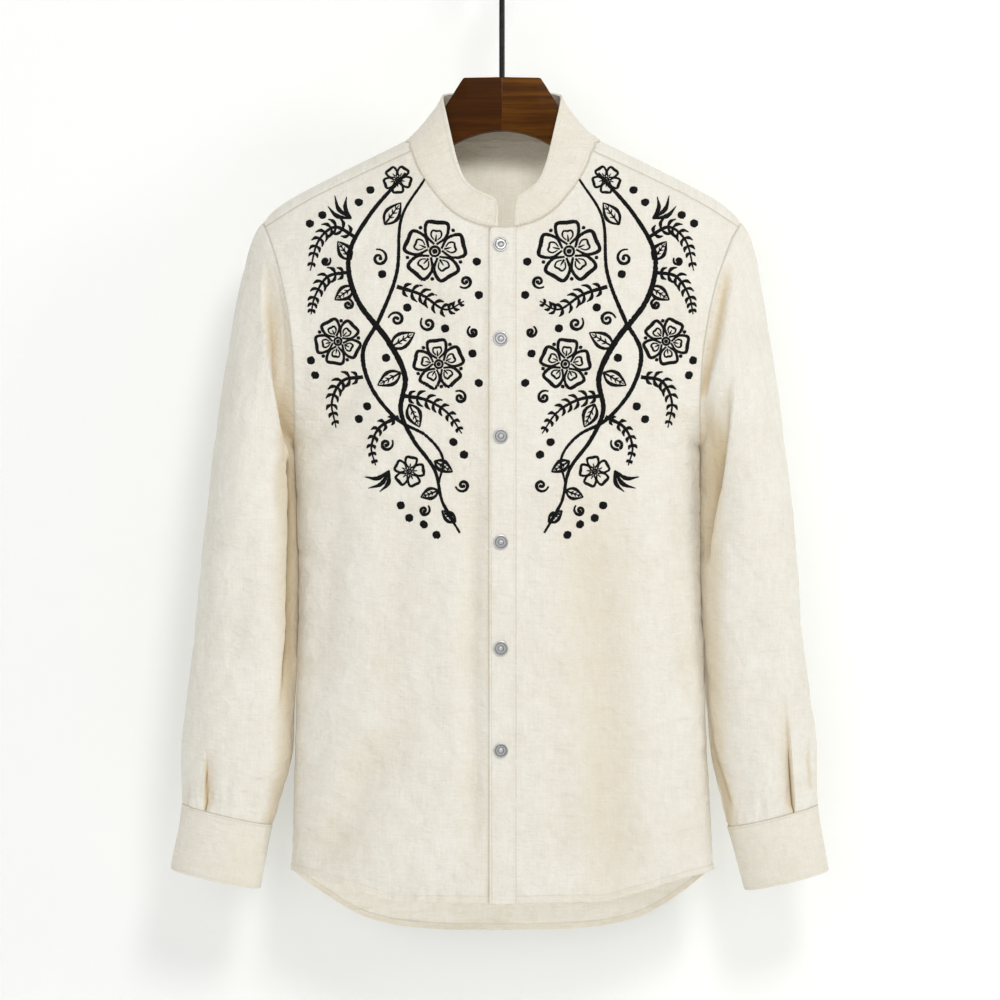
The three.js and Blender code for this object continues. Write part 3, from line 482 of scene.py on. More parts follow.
# %% Helpers for grids
EDGE = (0, 1.0, 2.0, 3.2, 5.0)  # millimetres from a sewn edge where the grid has a line
HEM = (0, 1.0, 2.6, 4.4, 5.4, 6.2, 7.0, 8.2, 10.5)  # and from a hem's edge
LOOSE = (0, 2, 4)  # and where a panel ends without an edge of its own to show
CELL = 4  # millimetres from line to line elsewhere


def stops(length, size, first=EDGE, last=EDGE):
    """Places from 0 to 1 along a length, close together at both ends."""
    start, end = np.array(first) / length, 1 - np.array(last)[::-1] / length
    middle = np.linspace(start[-1], end[0], max(2, int(round(length / size))))
    return np.concatenate([start[:-1], middle, end[1:]])


def lengths(points, axis):
    """Distance along the cloth from the grid's first row (axis 0) or column (axis 1)."""
    step = np.linalg.norm(np.diff(points, axis=axis), axis=2)
    pad = [(0, 0), (0, 0)]
    pad[axis] = (1, 0)
    return np.pad(step, pad).cumsum(axis)


def run_of(points):
    """Distance along a line of points, from its first."""
    return np.concatenate([[0], np.linalg.norm(np.diff(points, axis=0), axis=1).cumsum()])


def edges(points, axis):
    """Distances along the cloth from the grid's first and last row (axis 0) or column (axis 1)."""
    return lengths(points, axis), np.flip(lengths(np.flip(points, axis), axis), axis)


def unit(directions):
    """The same directions with a length of 1."""
    return directions / np.maximum(np.linalg.norm(directions, axis=-1, keepdims=True), 1e-9)


def slope(points, axis, closed):
    """The direction along one axis of a grid."""
    if closed:
        return np.roll(points, -1, axis) - np.roll(points, 1, axis)
    return np.gradient(points, axis=axis)


def normals_of(points, outside, closed=False):
    """Unit directions out of the cloth. outside is the way that they roughly point, for all or for each."""
    n = unit(np.cross(slope(points, 1, closed), slope(points, 0, False)))
    return n * np.where((n * outside).sum(2, keepdims=True) < 0, -1, 1)


TABLE = 64  # the random heights under the waves repeat after this many swells


def waves(a, b, seed):
    """Smooth unevenness from about -1 to 1, the same on every run. A step of 1 in a or b is one swell."""
    table = np.random.default_rng(seed).uniform(-1, 1, (TABLE, TABLE))
    total = np.zeros(np.broadcast(a, b).shape)
    for octave in (0, 1):  # smaller swells ride on the first ones
        x, y = a * 2 ** octave + 7.3 * octave, b * 2 ** octave + 3.1 * octave
        i, j = np.floor(x).astype(int), np.floor(y).astype(int)
        s, t = ease(x - i), ease(y - j)
        corner = lambda p, q: table[(i + p) % TABLE, (j + q) % TABLE]
        total += mix(mix(corner(0, 0), corner(1, 0), s), mix(corner(0, 1), corner(1, 1), s), t) / 2 ** octave
    return total


print("stops along 100 mm:", len(stops(100, 4)))

# %% [markdown]
# ## Folds
# A fold is laid along a path, as seen from the front or the back. Across it the cloth dips, and along it
# the dip fades in and out. A soft trough dips evenly. A lapped fold drops steeply on one side of its path
# and climbs back slowly, the way cloth rolls over itself beside an armhole or into a pleat.

# %% Helpers for folds
DARKEST = 1.6  # where the shade of several folds adds up
PLEAT_DROP = 3  # a fold that drops within this many millimetres is a pleat, with a sharp line of painted shade
FULL_DEPTH = 6  # a fold this deep is painted as dark as fold shade gets


def to_path(points, path):
    """Each point's distance from a path, seen from the front, with its side, and how far along it is."""
    path = np.array(path, float)
    x, z = points[..., 0], points[..., 2]
    best = np.full(x.shape, np.inf)
    side, along = np.zeros(x.shape), np.zeros(x.shape)
    steps = np.linalg.norm(np.diff(path, axis=0), axis=1)
    total, done = steps.sum(), 0
    for (ax, az), (bx, bz), step in zip(path[:-1], path[1:], steps):
        ux, uz = (bx - ax) / step, (bz - az) / step
        t = np.clip(((x - ax) * ux + (z - az) * uz), 0, step)
        dx, dz = x - ax - ux * t, z - az - uz * t
        d = np.hypot(dx, dz)
        near = d < best
        best = np.where(near, d, best)
        side = np.where(near, np.sign(ux * dz - uz * dx), side)
        along = np.where(near, (done + t) / total, along)
        done += step
    return best * side, along


def facing(normals, face):
    """1 where the cloth faces the front (-1) or the back (1), fading to 0 at its sides."""
    return ease((normals[..., 1] * face + 0.05) / 0.4)


def fades(along, fade):
    """A fold fades in from the start of its path and out towards its end, each over a part of its length."""
    return ease(along / fade[0]) * ease((1 - along) / fade[1])


def trough(points, normals, face, path, width, depth, fade=(0.25, 0.25)):
    """How far a soft trough moves each point in."""
    across, along = to_path(points, path)
    return depth * bell(across, width) * fades(along, fade) * facing(normals, face)


def lap(points, normals, face, path, drop, reach, depth, fade, turn):
    """How far a lapped fold moves each point in, steeply within drop of the path and then back over reach.
    Also how shaded it is, most along its line and less over its valley."""
    across, along = to_path(points, path)
    over = across * turn
    fall, faded, seen = ease(over / drop + 0.5), fades(along, fade), facing(normals, face)
    profile = fall * np.exp(-(np.maximum(over - drop / 2, 0) / reach) ** 1.5)
    line = bell(over - 0.3 * drop, max(0.45 * drop, 1.15)) * (1.1 if drop < PLEAT_DROP else 0.5)
    valley = fall * bell(np.maximum(over, 0), reach)
    return depth * profile * faded * seen, (line + 0.55 * valley) * faded * seen * min(1, depth / FULL_DEPTH)


print("a trough, every 4 mm from its middle:", bell(np.arange(0, 24, 4), 12).round(2))

# %% Helpers for seams
def seam_roll(distance, height=0.45):
    """Two sewn pieces meet in a groove, and both stand a little proud beside it."""
    return -height * (1 - bell(distance, 1.3))


def pucker(distance, along, seed, size=0.35, reach=9.0, pitch=9.0):
    """The small gathers that stitching leaves beside an edge. The edge itself stays where the seam is."""
    return size * waves(along / pitch, distance / 40, seed) * bell(distance, reach) * ease(distance / 2)


surface = {}  # each finished outer grid, for what is sewn to it


def raised(name, points, normals, rise, closed=False):
    """The grid moved out of the cloth by rise, and kept under its piece's name."""
    points = points + normals * rise[..., None]
    surface[name] = points, normals_of(points, normals, closed)
    return points


def sided(word, side):
    """The name of a piece that both sides have."""
    return f"{word}_{'right' if side == RIGHT else 'left'}_cloth"


print("a seam's groove, every mm from its edge:", seam_roll(np.arange(4.0)).round(2))

# %% [markdown]
# ## From a grid to a sheet of linen
# The grid becomes a mesh of quads with a map in metres of cloth, so that the weave keeps one size all over.
# Solidify gives it the thickness of real linen on the inside, and its rim closes the sheet. A bevel rounds
# the edges of the folded pieces.

# %% A sheet from a grid
SHARP = math.radians(50)  # an edge that turns further than this stays an edge


def only(piece):
    """Select one piece, make it the active one, and deselect the rest."""
    bpy.ops.object.select_all(action="DESELECT")
    piece.select_set(True)
    bpy.context.view_layer.objects.active = piece


def apply_modifiers(piece):
    only(piece)
    for name in [m.name for m in piece.modifiers]:
        bpy.ops.object.modifier_apply(modifier=name)


def linen_sheet(name, points, normals, u, v, edge, thick=0.8, closed=False, shade=0.0, bevel=0.0):
    """A sheet whose outer side is the grid. u and v are places on the cloth, and edge is how far it is from a
    row of stitches or a seam, all in millimetres."""
    rows, cols = points.shape[:2]
    span = cols if closed else cols - 1
    r, c = np.meshgrid(np.arange(rows - 1), np.arange(span), indexing="ij")
    r, c = r.ravel(), c.ravel()
    corners = [(r, c), (r + 1, c), (r + 1, c + 1), (r, c + 1)]
    i, j = rows // 2, cols // 2
    turn = np.cross(points[i + 1, j] - points[i, j], points[i, j + 1] - points[i, j])
    if turn @ normals[i, j] < 0:
        corners.reverse()
    faces = np.stack([i * cols + j % cols for i, j in corners], 1)
    mesh = bpy.data.meshes.new(name)
    mesh.from_pydata(points.reshape(-1, 3) * MM, [], faces.tolist())
    layer = mesh.uv_layers.new(name="cloth")
    uv = np.stack([np.stack([u[i, j], v[i, j]], -1) for i, j in corners], 1) * MM
    layer.data.foreach_set("uv", uv.reshape(-1).astype(np.float32))
    # the fold attribute carries painted shade, which also sets how much the cloth glows
    for attribute, value in (("seam", edge * MM), ("fold", np.broadcast_to(shade, (rows, cols)))):
        layer = mesh.attributes.new(attribute, "FLOAT", "POINT")
        layer.data.foreach_set("value", value.reshape(-1).astype(np.float32))
    for finish in (linen, linen_inside):
        mesh.materials.append(finish)
    piece = placed(name, mesh)
    solid = piece.modifiers.new("thickness", "SOLIDIFY")
    solid.thickness, solid.offset, solid.material_offset = thick * MM, -1, 1
    if bevel:
        soft = piece.modifiers.new("soft edge", "BEVEL")
        soft.width, soft.segments = bevel * MM, 2
        soft.limit_method, soft.angle_limit = "ANGLE", SHARP
    apply_modifiers(piece)
    bpy.ops.object.shade_smooth_by_angle(angle=SHARP)
    print(f"{name}: {len(piece.data.polygons)} faces")
    return piece

# %% [markdown]
# ## Fronts and button band
# Each front hangs from the neckline and the forward shoulder seam to a curved hem. The body swells a little
# and carries a few long soft folds, put where a hanging shirt shows them: beside the button band, down from
# the chest, and from the underarm. The band is a folded strip on the wearer's left front, free at one edge,
# so that edge stands higher.

# %% Folds of the fronts
FRONT_FOLDS = [  # path, width, depth
    ([(80, -520), (92, -690), (101, -810), (108, -1010)], 27, 6.5),
    ([(44, -680), (52, -820), (54, -940)], 12, 2.2),
    ([(176, -540), (170, -650), (178, -780)], 14, 3.2),
    ([(188, -512), (160, -480), (124, -436)], 9, 2.4),
    ([(184, -534), (150, -520), (118, -492)], 8, 1.8),
    ([(-25, -520), (-29, -690), (-27, -830), (-30, -945)], 11, 4.2),
    ([(-88, -560), (-106, -700), (-98, -850)], 20, 3.2),
    ([(-110, -780), (-152, -880), (-186, -935)], 20, 4.6),
    ([(-190, -516), (-160, -488), (-124, -446)], 9, 2.4),
    ([(-186, -540), (-152, -526), (-118, -500)], 8, 1.8),
    ([(-150, -560), (-170, -660), (-172, -780)], 14, 2.8),
    ([(-60, -600), (-72, -720), (-62, -840)], 13, 1.8),
    ([(-196, -600), (-176, -640), (-140, -664)], 9, 1.5),
    ([(196, -700), (168, -742), (136, -756)], 9, 1.5),
]
print(len(FRONT_FOLDS), "folds on the fronts")

# %% How the body's cloth hangs
def swell(points, seed, size=1.0):
    """The uneven hang of the body's cloth."""
    x, z = points[..., 0], points[..., 2]
    calm = ease((-z - 235) / 160)
    broad = waves(x / 62, z / 190, seed) * 2.0 * calm
    small = waves(x / 24, z / 44, seed + 1) * 0.5
    crumple = (1 - np.abs(waves(x / 34 + z / 120, z / 52 - x / 150, seed + 2))) ** 5
    creases = (1 - np.abs(waves(x / 58 - z / 200, z / 21 + x / 90, seed + 3))) ** 6 * calm
    return (broad + small + 0.9 * crumple + 1.4 * creases) * size


CALM_HALF, CALM_FADE = 9, 16  # from the centre: where the fronts' folds begin, and over how much


def front_depth(points, normals):
    """How far the fronts' folds and swells move the cloth in. It is calm along the button band."""
    depth = swell(points, 3)
    for path, width, deep in FRONT_FOLDS:
        depth = depth + trough(points, normals, FRONT, path, width, 1.3 * deep)
    return depth * ease((np.abs(points[..., 0]) - CALM_HALF) / CALM_FADE)


def deep_shade(points, normals, face, folds):
    """The deeper the fold, the less light reaches its bottom."""
    return sum(trough(points, normals, face, path, 1.2 * width, 0.0096 * deep ** 2)
               for path, width, deep in folds)


HEM_SHADE = 0.3  # painted shade: three layers of cloth let less light through than one
HEM_WIDTH, HEM_DIP, HEM_STITCH = 7, 6.4, 6.2  # from the hem's edge


def hem_line(distance):
    """A narrow hem, folded twice: proud of the cloth, with a dip along its stitches."""
    return 0.5 * bell(distance - HEM_DIP, 1.0) - 0.55 * ease((HEM_WIDTH - distance) / 1.2)


def front_angle(side, start, part, z):
    """Columns follow the cloth below the shoulder seam's end, and go straight up above it."""
    level = np.minimum(z, FRONT_SEAM_END)
    angle = angle_along(side, FRONT, level, start, part)
    across = np.abs(form(side, FRONT, angle, level)[..., 0])
    return np.where(z <= FRONT_SEAM_END, angle, angle_of_x(side, FRONT, across, z))


def front_top(x):
    return np.where(x < NECK_CORNER, read(NECKLINE, "x", "z", x), read(SHOULDER_SEAM, "x", "z", x))


print("heights of a hem from its edge:", -hem_line(np.arange(0, 9, 2)).round(2))

# %% The two fronts
BESIDE_BAND = (0, 0.8, 1.7, 3)  # close columns, where the band's edge keeps the light off the cloth
UNDER_BAND = (UNDERLAP, 4, -2, -8)  # columns of the button side that the band covers
TUCK = 3.0  # how far the button band overlaps its own front
FRONT_DROP, BAND_DROP = 680, 643  # lengths from neck to hem


def front_panel(side):
    start = -PLACKET_RIGHT if side == RIGHT else PLACKET_LEFT - TUCK
    dense = np.linspace(0, 1, 400)
    level = form(side, FRONT, angle_along(side, FRONT, FRONT_SEAM_END, start, dense), FRONT_SEAM_END)
    reach = np.abs(level[:, 0])
    neck, shoulder = NECK_CORNER - start, reach[-1] - NECK_CORNER
    xs = np.concatenate([start + neck * stops(neck, CELL, BESIDE_BAND, LOOSE),
                         NECK_CORNER + shoulder * stops(shoulder, CELL, first=LOOSE)[1:]])
    parts = np.interp(xs, reach, dense)
    down = stops(FRONT_DROP, CELL, last=HEM)
    top = front_top(xs)
    bottom = np.abs(form(side, FRONT, angle_along(side, FRONT, SIDE_END, start, parts), SIDE_END)[:, 0])
    hem = read(FRONT_HEM, "x", "z", bottom)
    top[-1], hem[-1] = FRONT_SEAM_END, SIDE_END
    z = mix(top[None, :], hem[None, :], down[:, None])
    points = form(side, FRONT, front_angle(side, start, np.broadcast_to(parts, z.shape), z), z)
    if side == RIGHT:  # the button side carries on beneath the band
        under = np.repeat(points[:, :1], len(UNDER_BAND), 1)
        under[..., 0] = UNDER_BAND
        points = np.concatenate([under, points], 1)
    normals = normals_of(points, (side * 0.2, -1, 0))
    u = side * lengths(points, 1) + (UNDERLAP if side == RIGHT else start)
    v = points[..., 2].copy()
    above, below = edges(points, 0)
    outer = edges(points, 1)[1]
    inside = np.minimum(above, outer)
    depth = front_depth(points, normals) * ease(inside / 12) + seam_roll(inside) + hem_line(below)
    depth += (pucker(above, u, 11) + pucker(outer, v, 12, size=0.6, reach=13)
              + pucker(below, u, 13, size=1.3, reach=18))
    points = raised(sided("front", side), points, normals, -depth)
    edge = np.minimum(inside, np.abs(below - HEM_STITCH) + 0.9)
    shade = deep_shade(points, normals, FRONT, FRONT_FOLDS) + 0.4 * HEM_SHADE * ease((HEM_WIDTH - below) / 2)
    if side == RIGHT:  # the band's free edge keeps some light off
        beside = np.maximum(np.abs(points[..., 0]) - start, 0)
        close = 0.8 + 0.5 * waves(points[..., 2] / 60, beside / 60, 21)
        shade = shade + close * (0.35 * bell(beside, 1.5) + 0.14 * np.exp(-beside / 6))
        # the darker seam line is painted here as the shadow line right beside the band
        edge = np.minimum(edge, beside + 0.2)
    return linen_sheet(sided("front", side), points, normals, u, v, edge, shade=shade)


front_right, front_left = front_panel(RIGHT), front_panel(LEFT)

# %% The button band
BAND_EDGE = (0, 0.7, 1.6, 2.4, 3.2)
BAND_STITCH = 2.4  # from each long edge
BAND_CORNER = 5  # radius of its upper corner on the free edge
FREE_EDGE_RISE, SEWN_EDGE_RISE = 2.4, 1.0  # how far the band's two edges stand off the fronts


def button_band():
    across = stops(PLACKET_LEFT - PLACKET_RIGHT, CELL, BAND_EDGE, BAND_EDGE)
    down = stops(BAND_DROP, CELL, last=HEM)
    xs = mix(PLACKET_RIGHT, PLACKET_LEFT, across)
    from_corner = np.clip(1 - (xs - PLACKET_RIGHT) / BAND_CORNER, 0, 1)
    top = front_top(np.abs(xs)) - BAND_CORNER * (1 - np.sqrt(1 - from_corner ** 2))
    z = mix(top[None, :], FRONT_HEM["z"][0], down[:, None])
    points = form(LEFT, FRONT, 0 * z, z)
    points[..., 0] = xs
    normals = normals_of(points, (0, -1, 0))
    free, sewn = edges(points, 1)
    rise = mix(FREE_EDGE_RISE, SEWN_EDGE_RISE, across)[None, :]
    rise = rise - 0.25 * bell(free - BAND_STITCH, 0.9) - 0.16 * bell(sewn - BAND_STITCH, 0.9)
    rise = rise - 0.35 * bell(free, 0.8) - 0.3 * bell(sewn, 0.8)
    rise = rise + 0.32 * waves(z / 13, xs[None, :] / 30, 21) + 0.2 * waves(z / 5.5, xs[None, :] / 9, 22)
    above, below = edges(points, 0)
    rise = rise - 0.5 * bell(above, 0.9) - 0.6 * hem_line(below)
    rows_of_stitches = np.minimum(np.abs(free - BAND_STITCH), np.abs(sewn - BAND_STITCH) + 0.8)
    edge = np.minimum(rows_of_stitches + 0.7, sewn + 0.3)
    points = raised("button_band", points, normals, rise)
    return linen_sheet("button_band", points, normals, points[..., 0] + 3.3, z, edge, thick=1.2, bevel=0.4)


band = button_band()

# %% [markdown]
# ## Back and yoke
# The back is one panel with a longer, rounder hem. The yoke is the piece over the shoulders. It starts at
# the forward shoulder seams and runs over the shoulder line to a level seam across the back, so its lines
# turn round the neck like a fan.

# %% The back
BACK_FOLDS = [
    ([(-58, -345), (-72, -560), (-66, -780), (-74, -985)], 24, 4.0),
    ([(46, -345), (62, -600), (54, -800), (60, -985)], 22, 3.4),
    ([(128, -470), (120, -650), (132, -880)], 26, 3.2),
    ([(-132, -500), (-126, -700), (-140, -900)], 24, 3.0),
    ([(-192, -500), (-160, -470), (-118, -440)], 12, 1.8),
    ([(184, -506), (150, -474), (112, -446)], 12, 1.8),
    ([(-4, -520), (2, -760), (-6, -960)], 20, 1.6),
]


BACK_DROP, BACK_CELL = 660, 4.4


def back_seam(x):
    return BACK_SEAM_END + BACK_SEAM_RISE * (1 - (x / BACK_SEAM_HALF) ** 2)


def back_half(side):
    parts = stops(BACK_SEAM_HALF, BACK_CELL)
    parts = parts[np.searchsorted(parts, 0.02):]  # the centre back is no edge, so it needs no close columns
    parts[0] = 0
    down = stops(BACK_DROP, BACK_CELL, last=HEM)
    across = lambda z: np.abs(form(side, BACK, angle_along(side, BACK, z, 0, parts), z)[:, 0])
    top, hem = back_seam(across(BACK_SEAM_END)), read(BACK_HEM, "x", "z", across(SIDE_END))
    top[-1], hem[-1] = BACK_SEAM_END, SIDE_END
    z = mix(top[None, :], hem[None, :], down[:, None])
    points = form(side, BACK, angle_along(side, BACK, z, 0, np.broadcast_to(parts, z.shape)), z)
    return points, side * lengths(points, 1)


def back_panel():
    (right, u_right), (left, u_left) = back_half(RIGHT), back_half(LEFT)
    points = np.concatenate([right[:, :0:-1], left], 1)
    u = np.concatenate([u_right[:, :0:-1], u_left], 1)
    v = points[..., 2].copy()
    normals = normals_of(points, (0, 1, 0))
    above, below = edges(points, 0)
    outer = np.minimum(*edges(points, 1))
    depth = swell(points, 31, 1.2)
    for path, width, deep in BACK_FOLDS:
        depth = depth + trough(points, normals, BACK, path, width, 1.6 * deep, fade=(0.2, 0.12))
    inside = np.minimum(above, outer)
    depth = depth * ease(inside / 14) + seam_roll(inside) + hem_line(below)
    depth += pucker(above, u, 33) + pucker(outer, v, 34) + pucker(below, u, 35, size=0.45, reach=12)
    points = raised("back_cloth", points, normals, -depth)
    edge = np.minimum(inside, np.abs(below - HEM_STITCH) + 0.4)
    shade = deep_shade(points, normals, BACK, BACK_FOLDS) + HEM_SHADE * ease((HEM_WIDTH - below) / 2)
    return linen_sheet("back_cloth", points, normals, u, v, edge, shade=shade)


back = back_panel()

# %% The yoke's lines
# where the yoke's lines cross the back seam, as parts of its half, and the neck, as angles
YOKE_BACK = [(0.83, 1.08), (0.72, 0.92), (0.6, 0.76), (0.47, 0.6), (0.32, 0.4), (0.16, 0.2), (0, 0)]


def on_back_seam(side, part):
    """The angle and height of a place part of the way from the centre back to the armhole."""
    end = angle_along(side, BACK, BACK_SEAM_END, 0, part)
    z = float(back_seam(np.abs(form(side, BACK, end, BACK_SEAM_END)[..., 0])))
    return float(angle_along(side, BACK, z, 0, part)), z


def yoke_lines(side):
    """The angles and heights of both ends of the yoke's lines: at the neck, and at armhole or back seam."""
    seam = float(angle_of_x(side, FRONT, NECK_CORNER, SHOULDER_SEAM["z"][0]))
    between = mix(SHOULDER_SEAM["z"][0], NECK_TOP, 0.55)
    half = mix(NECK_CORNER, float(section(side, FRONT, NECK_TOP)[0]), 0.75)
    neck = [(seam, SHOULDER_SEAM["z"][0]), (float(angle_of_x(side, FRONT, half, between)), between),
            (QUARTER, NECK_TOP), (1.42, NECK_TOP + 0.3), (1.26, NECK_TOP + 0.8)]
    outer = [(QUARTER, FRONT_SEAM_END), (QUARTER, -302.4), (QUARTER, SHOULDER_TIP), (QUARTER, -308),
             (QUARTER, BACK_SEAM_END)]
    for part, angle in YOKE_BACK:
        neck.append((angle, mix(NECK_BACK, NECK_TOP, math.sin(angle))))
        outer.append(on_back_seam(side, part))
    return np.array(neck), np.array(outer)


print("lines of half the yoke:", len(yoke_lines(RIGHT)[0]))

# %% The yoke
YOKE_REACH = 150  # from the neck to the armhole


def yoke_half(side, lines, along):
    """The yoke's grid on one side: from the forward seam (line 0) round to the centre back."""
    neck, outer = yoke_lines(side)
    count = np.arange(len(neck))
    seam_x = mix(SHOULDER_SEAM["x"][0], SHOULDER_SEAM["x"][-1], along)
    seam_z = read(SHOULDER_SEAM, "x", "z", seam_x)
    seam_angle = angle_of_x(side, FRONT, seam_x, seam_z)
    rows = []
    for s in lines:
        a, az, b, bz = [np.interp(s, count, column) for column in (*neck.T, *outer.T)]
        if s > 4:  # the far ends follow the back's own upper edge
            part = float(np.interp(s, count[4:], [1] + [row[0] for row in YOKE_BACK]))
            b, bz = on_back_seam(side, part)
        angle, z = mix(a, b, along), mix(az, bz, along)
        if s < 1:  # the first line follows the shoulder seam's curve
            angle = mix(seam_angle, mix(neck[1, 0], outer[1, 0], along), s)
            z = mix(seam_z, mix(neck[1, 1], outer[1, 1], along), s)
        rows.append(form(side, FRONT if s < 2 else BACK, angle, z))
    return np.array(rows)


def yoke_panel():
    lines = np.concatenate([[0, 0.05, 0.12, 0.22, 0.36, 0.52, 0.7, 0.86], np.linspace(1, 2, 8)[:-1],
                            np.linspace(2, 11, 64)])
    along = stops(YOKE_REACH, CELL)
    right, left = yoke_half(RIGHT, lines, along), yoke_half(LEFT, lines, along)
    points = np.concatenate([right, left[-2::-1]])
    normals = normals_of(points, points * (1, 1, 0) + (0, 0, 60))
    collar_side, outer = edges(points, 1)
    forward = np.minimum(*edges(points, 0))
    u, v = points[..., 0].copy(), points[..., 1] - points[..., 2]
    inside = np.minimum(np.minimum(collar_side, outer), forward)
    depth = seam_roll(inside) + 0.3 * waves(u / 30, v / 24, 41) * ease(inside / 8)
    depth = depth + pucker(outer, u, 42, 0.25) * ease(forward / 4)
    depth = depth + pucker(forward, u, 43, 0.25) * ease(outer / 4)
    points = raised("yoke_cloth", points, normals, -depth)
    return linen_sheet("yoke_cloth", points, normals, u, v, inside)


yoke = yoke_panel()

# %% [markdown]
# ## Collar
# The collar stands on the neckline. Its base follows the seam, and its free edge is a table of its own,
# because a stiffened band doesn't follow the neck. The front ends are rounded. It is two layers with a
# lining between, so it is thicker than the rest, and its edges are rounded and stitched.

# %% The collar
COLLAR_TOP = dict(x=[0, 10, 19, 27.5, 36, 42.5, 47, 51, 54.5, 57, 57.5, 54, 43, 24, 0],
                  y=[-46, -46, -45, -43, -41, -37, -32, -26, -18, -8, 2, 14, 25, 33, 36],
                  z=[-280, -278.5, -275, -270, -260.5, -244, -226, -208, -192, -181, -176.5, -173.5, -171,
                     -169.8, -169.5])
COLLAR_TOP["part"] = np.linspace(0, 1, len(COLLAR_TOP["x"]))
COLLAR_END = {RIGHT: 3.8, LEFT: 12.0}  # how far from the centre each end stops
COLLAR_CORNER = {RIGHT: (22, 9.5), LEFT: (27, 10.5)}  # how long and how high each end's rounded corner is
END_SLOPE, END_REACH = 0.35, 45  # the ends stand straight before the edge leans into the table's curve
COLLAR_THICK, COLLAR_HEIGHT = 2.2, 42
COLLAR_STITCH, SEAM_STITCH = 4.6, 0.8  # from its free edge, and from the neck seam
DOUBLE_LAYER_SHADE = 0.16  # painted shade: two layers and a lining let less light through than one


def neck_seam(side, end):
    """The seam that the collar stands on, from its front end to the centre back."""
    xs = np.concatenate([np.linspace(end, 60, 60), np.linspace(60, NECK_CORNER, 60)[1:-1]])
    z = front_top(xs)
    fore = form(side, FRONT, angle_of_x(side, FRONT, xs, z), z)
    lines = np.concatenate([np.linspace(0, 2, 20), np.linspace(2, 11, 60)[1:]])
    neck = yoke_half(side, lines, np.array([0.0]))
    return np.concatenate([fore, neck[:, 0]])


def collar_half(side, up):
    end = COLLAR_END[side]
    seam = neck_seam(side, end)
    along = run_of(seam)
    places = stops(along[-1], 3, first=(0, 0.5, 1.1, 1.8, 2.7, 4, 6, 8.5, 11), last=(0, 3)) * along[-1]
    base = np.stack([np.interp(places, along, seam[:, k]) for k in range(3)], 1)
    part = places / along[-1]
    top = np.stack([read(COLLAR_TOP, "part", column, part) for column in "xyz"], 1)
    top[:, 0] = side * mix(end + END_SLOPE * places, top[:, 0], np.clip(places / END_REACH, 0, 1))
    rise = top - base
    length = np.linalg.norm(rise, axis=1)
    long, high = COLLAR_CORNER[side]
    near = np.clip(1 - places / long, 0, 1)
    drop = high * (1 - np.sqrt(1 - near ** 2))
    reach = up[:, None] * (length - drop)[None, :]
    return base[None] + rise[None] * (reach / length)[..., None], places


def collar_band():
    up = stops(COLLAR_HEIGHT, 3, first=(0, 0.8, 1.7, 2.8, 4.2), last=(0, 0.8, 1.7, 2.6, 3.6, 5.0))
    (right, along_right), (left, along_left) = collar_half(RIGHT, up), collar_half(LEFT, up)
    points = np.concatenate([right, left[:, -2::-1]], 1)
    along = np.concatenate([along_right, along_right[-1] + along_left[-1] - along_left[-2::-1]])
    normals = normals_of(points, points * (1, 1, 0) + (0, 0, 5))
    base, free = edges(points, 0)
    ends = np.minimum(along, along[-1] - along)[None, :]
    border = np.minimum(free, ends + 0 * free)
    crown = 0.9 * np.sin(np.pi * np.clip(base / COLLAR_HEIGHT, 0, 1))
    depth = -crown + 0.35 * bell(border - COLLAR_STITCH, 1.0) - 0.25 * bell(border - 2.2, 1.4)
    depth = depth + 0.5 * bell(border, 0.7) - 0.9 + 0.3 * bell(base - 1.8, 0.8)
    u = np.broadcast_to(along[None, :], base.shape)
    depth = depth + 0.4 * waves(u / 30, base / 26, 51) + 0.13 * waves(u / 8, base / 12, 52)
    depth = depth + pucker(base, u, 53, 0.3, 8, 8) + pucker(border, u, 54, 0.22, 8, 7)
    points = raised("collar_cloth", points, normals, -depth)
    edge = np.minimum(np.abs(border - COLLAR_STITCH) + 0.9, np.abs(base - SEAM_STITCH) + 0.3)
    return linen_sheet("collar_cloth", points, normals, u, base, edge, thick=COLLAR_THICK,
                       shade=DOUBLE_LAYER_SHADE, bevel=0.7)


collar = collar_band()

# %% [markdown]
# ## Sleeves and cuffs
# A sleeve is a tube. It starts as the armhole seam, turns down over the shoulder, and becomes a flattened
# oval that narrows to the wrist. Its folds are what makes it read as cloth: it rolls over beside the
# armhole, it is turned under along its inner edge, and it is taken into the cuff by sharp pleats.

# %% Sleeve tables
COLUMNS = ("out_x", "out_z", "in_x", "in_z", "front", "back")
SLEEVE_SECTIONS = {
    RIGHT: [(282.5, -558, 199.2, -558, 60, 68), (289.7, -627, 197.3, -627, 56, 60),
            (299.0, -702, 198.2, -706, 51, 52), (305.5, -760, 201, -768, 46, 45),
            (310.3, -803, 204.5, -814, 41, 40), (310.5, -835, 213.5, -850, 36, 36),
            (309.5, -862.5, 223, -882.9, 31, 32), (320, -925.5, 234.5, -944.5, 30, 31)],
    LEFT: [(278.5, -558, 192.4, -558, 60, 68), (284, -627, 192.9, -627, 56, 60),
           (292, -702, 195.2, -706, 51, 52), (299.5, -760, 198.8, -768, 46, 45),
           (305, -803, 202.8, -814, 41, 40), (305.5, -835, 211, -850, 36, 36),
           (305.5, -863.5, 219.5, -884.8, 31, 32), (316, -927, 235.5, -946, 30, 31)]}
SLEEVE_ROUND = 2.2  # how square the oval is
CUFF_SEAM = 6  # the section where the cuff starts
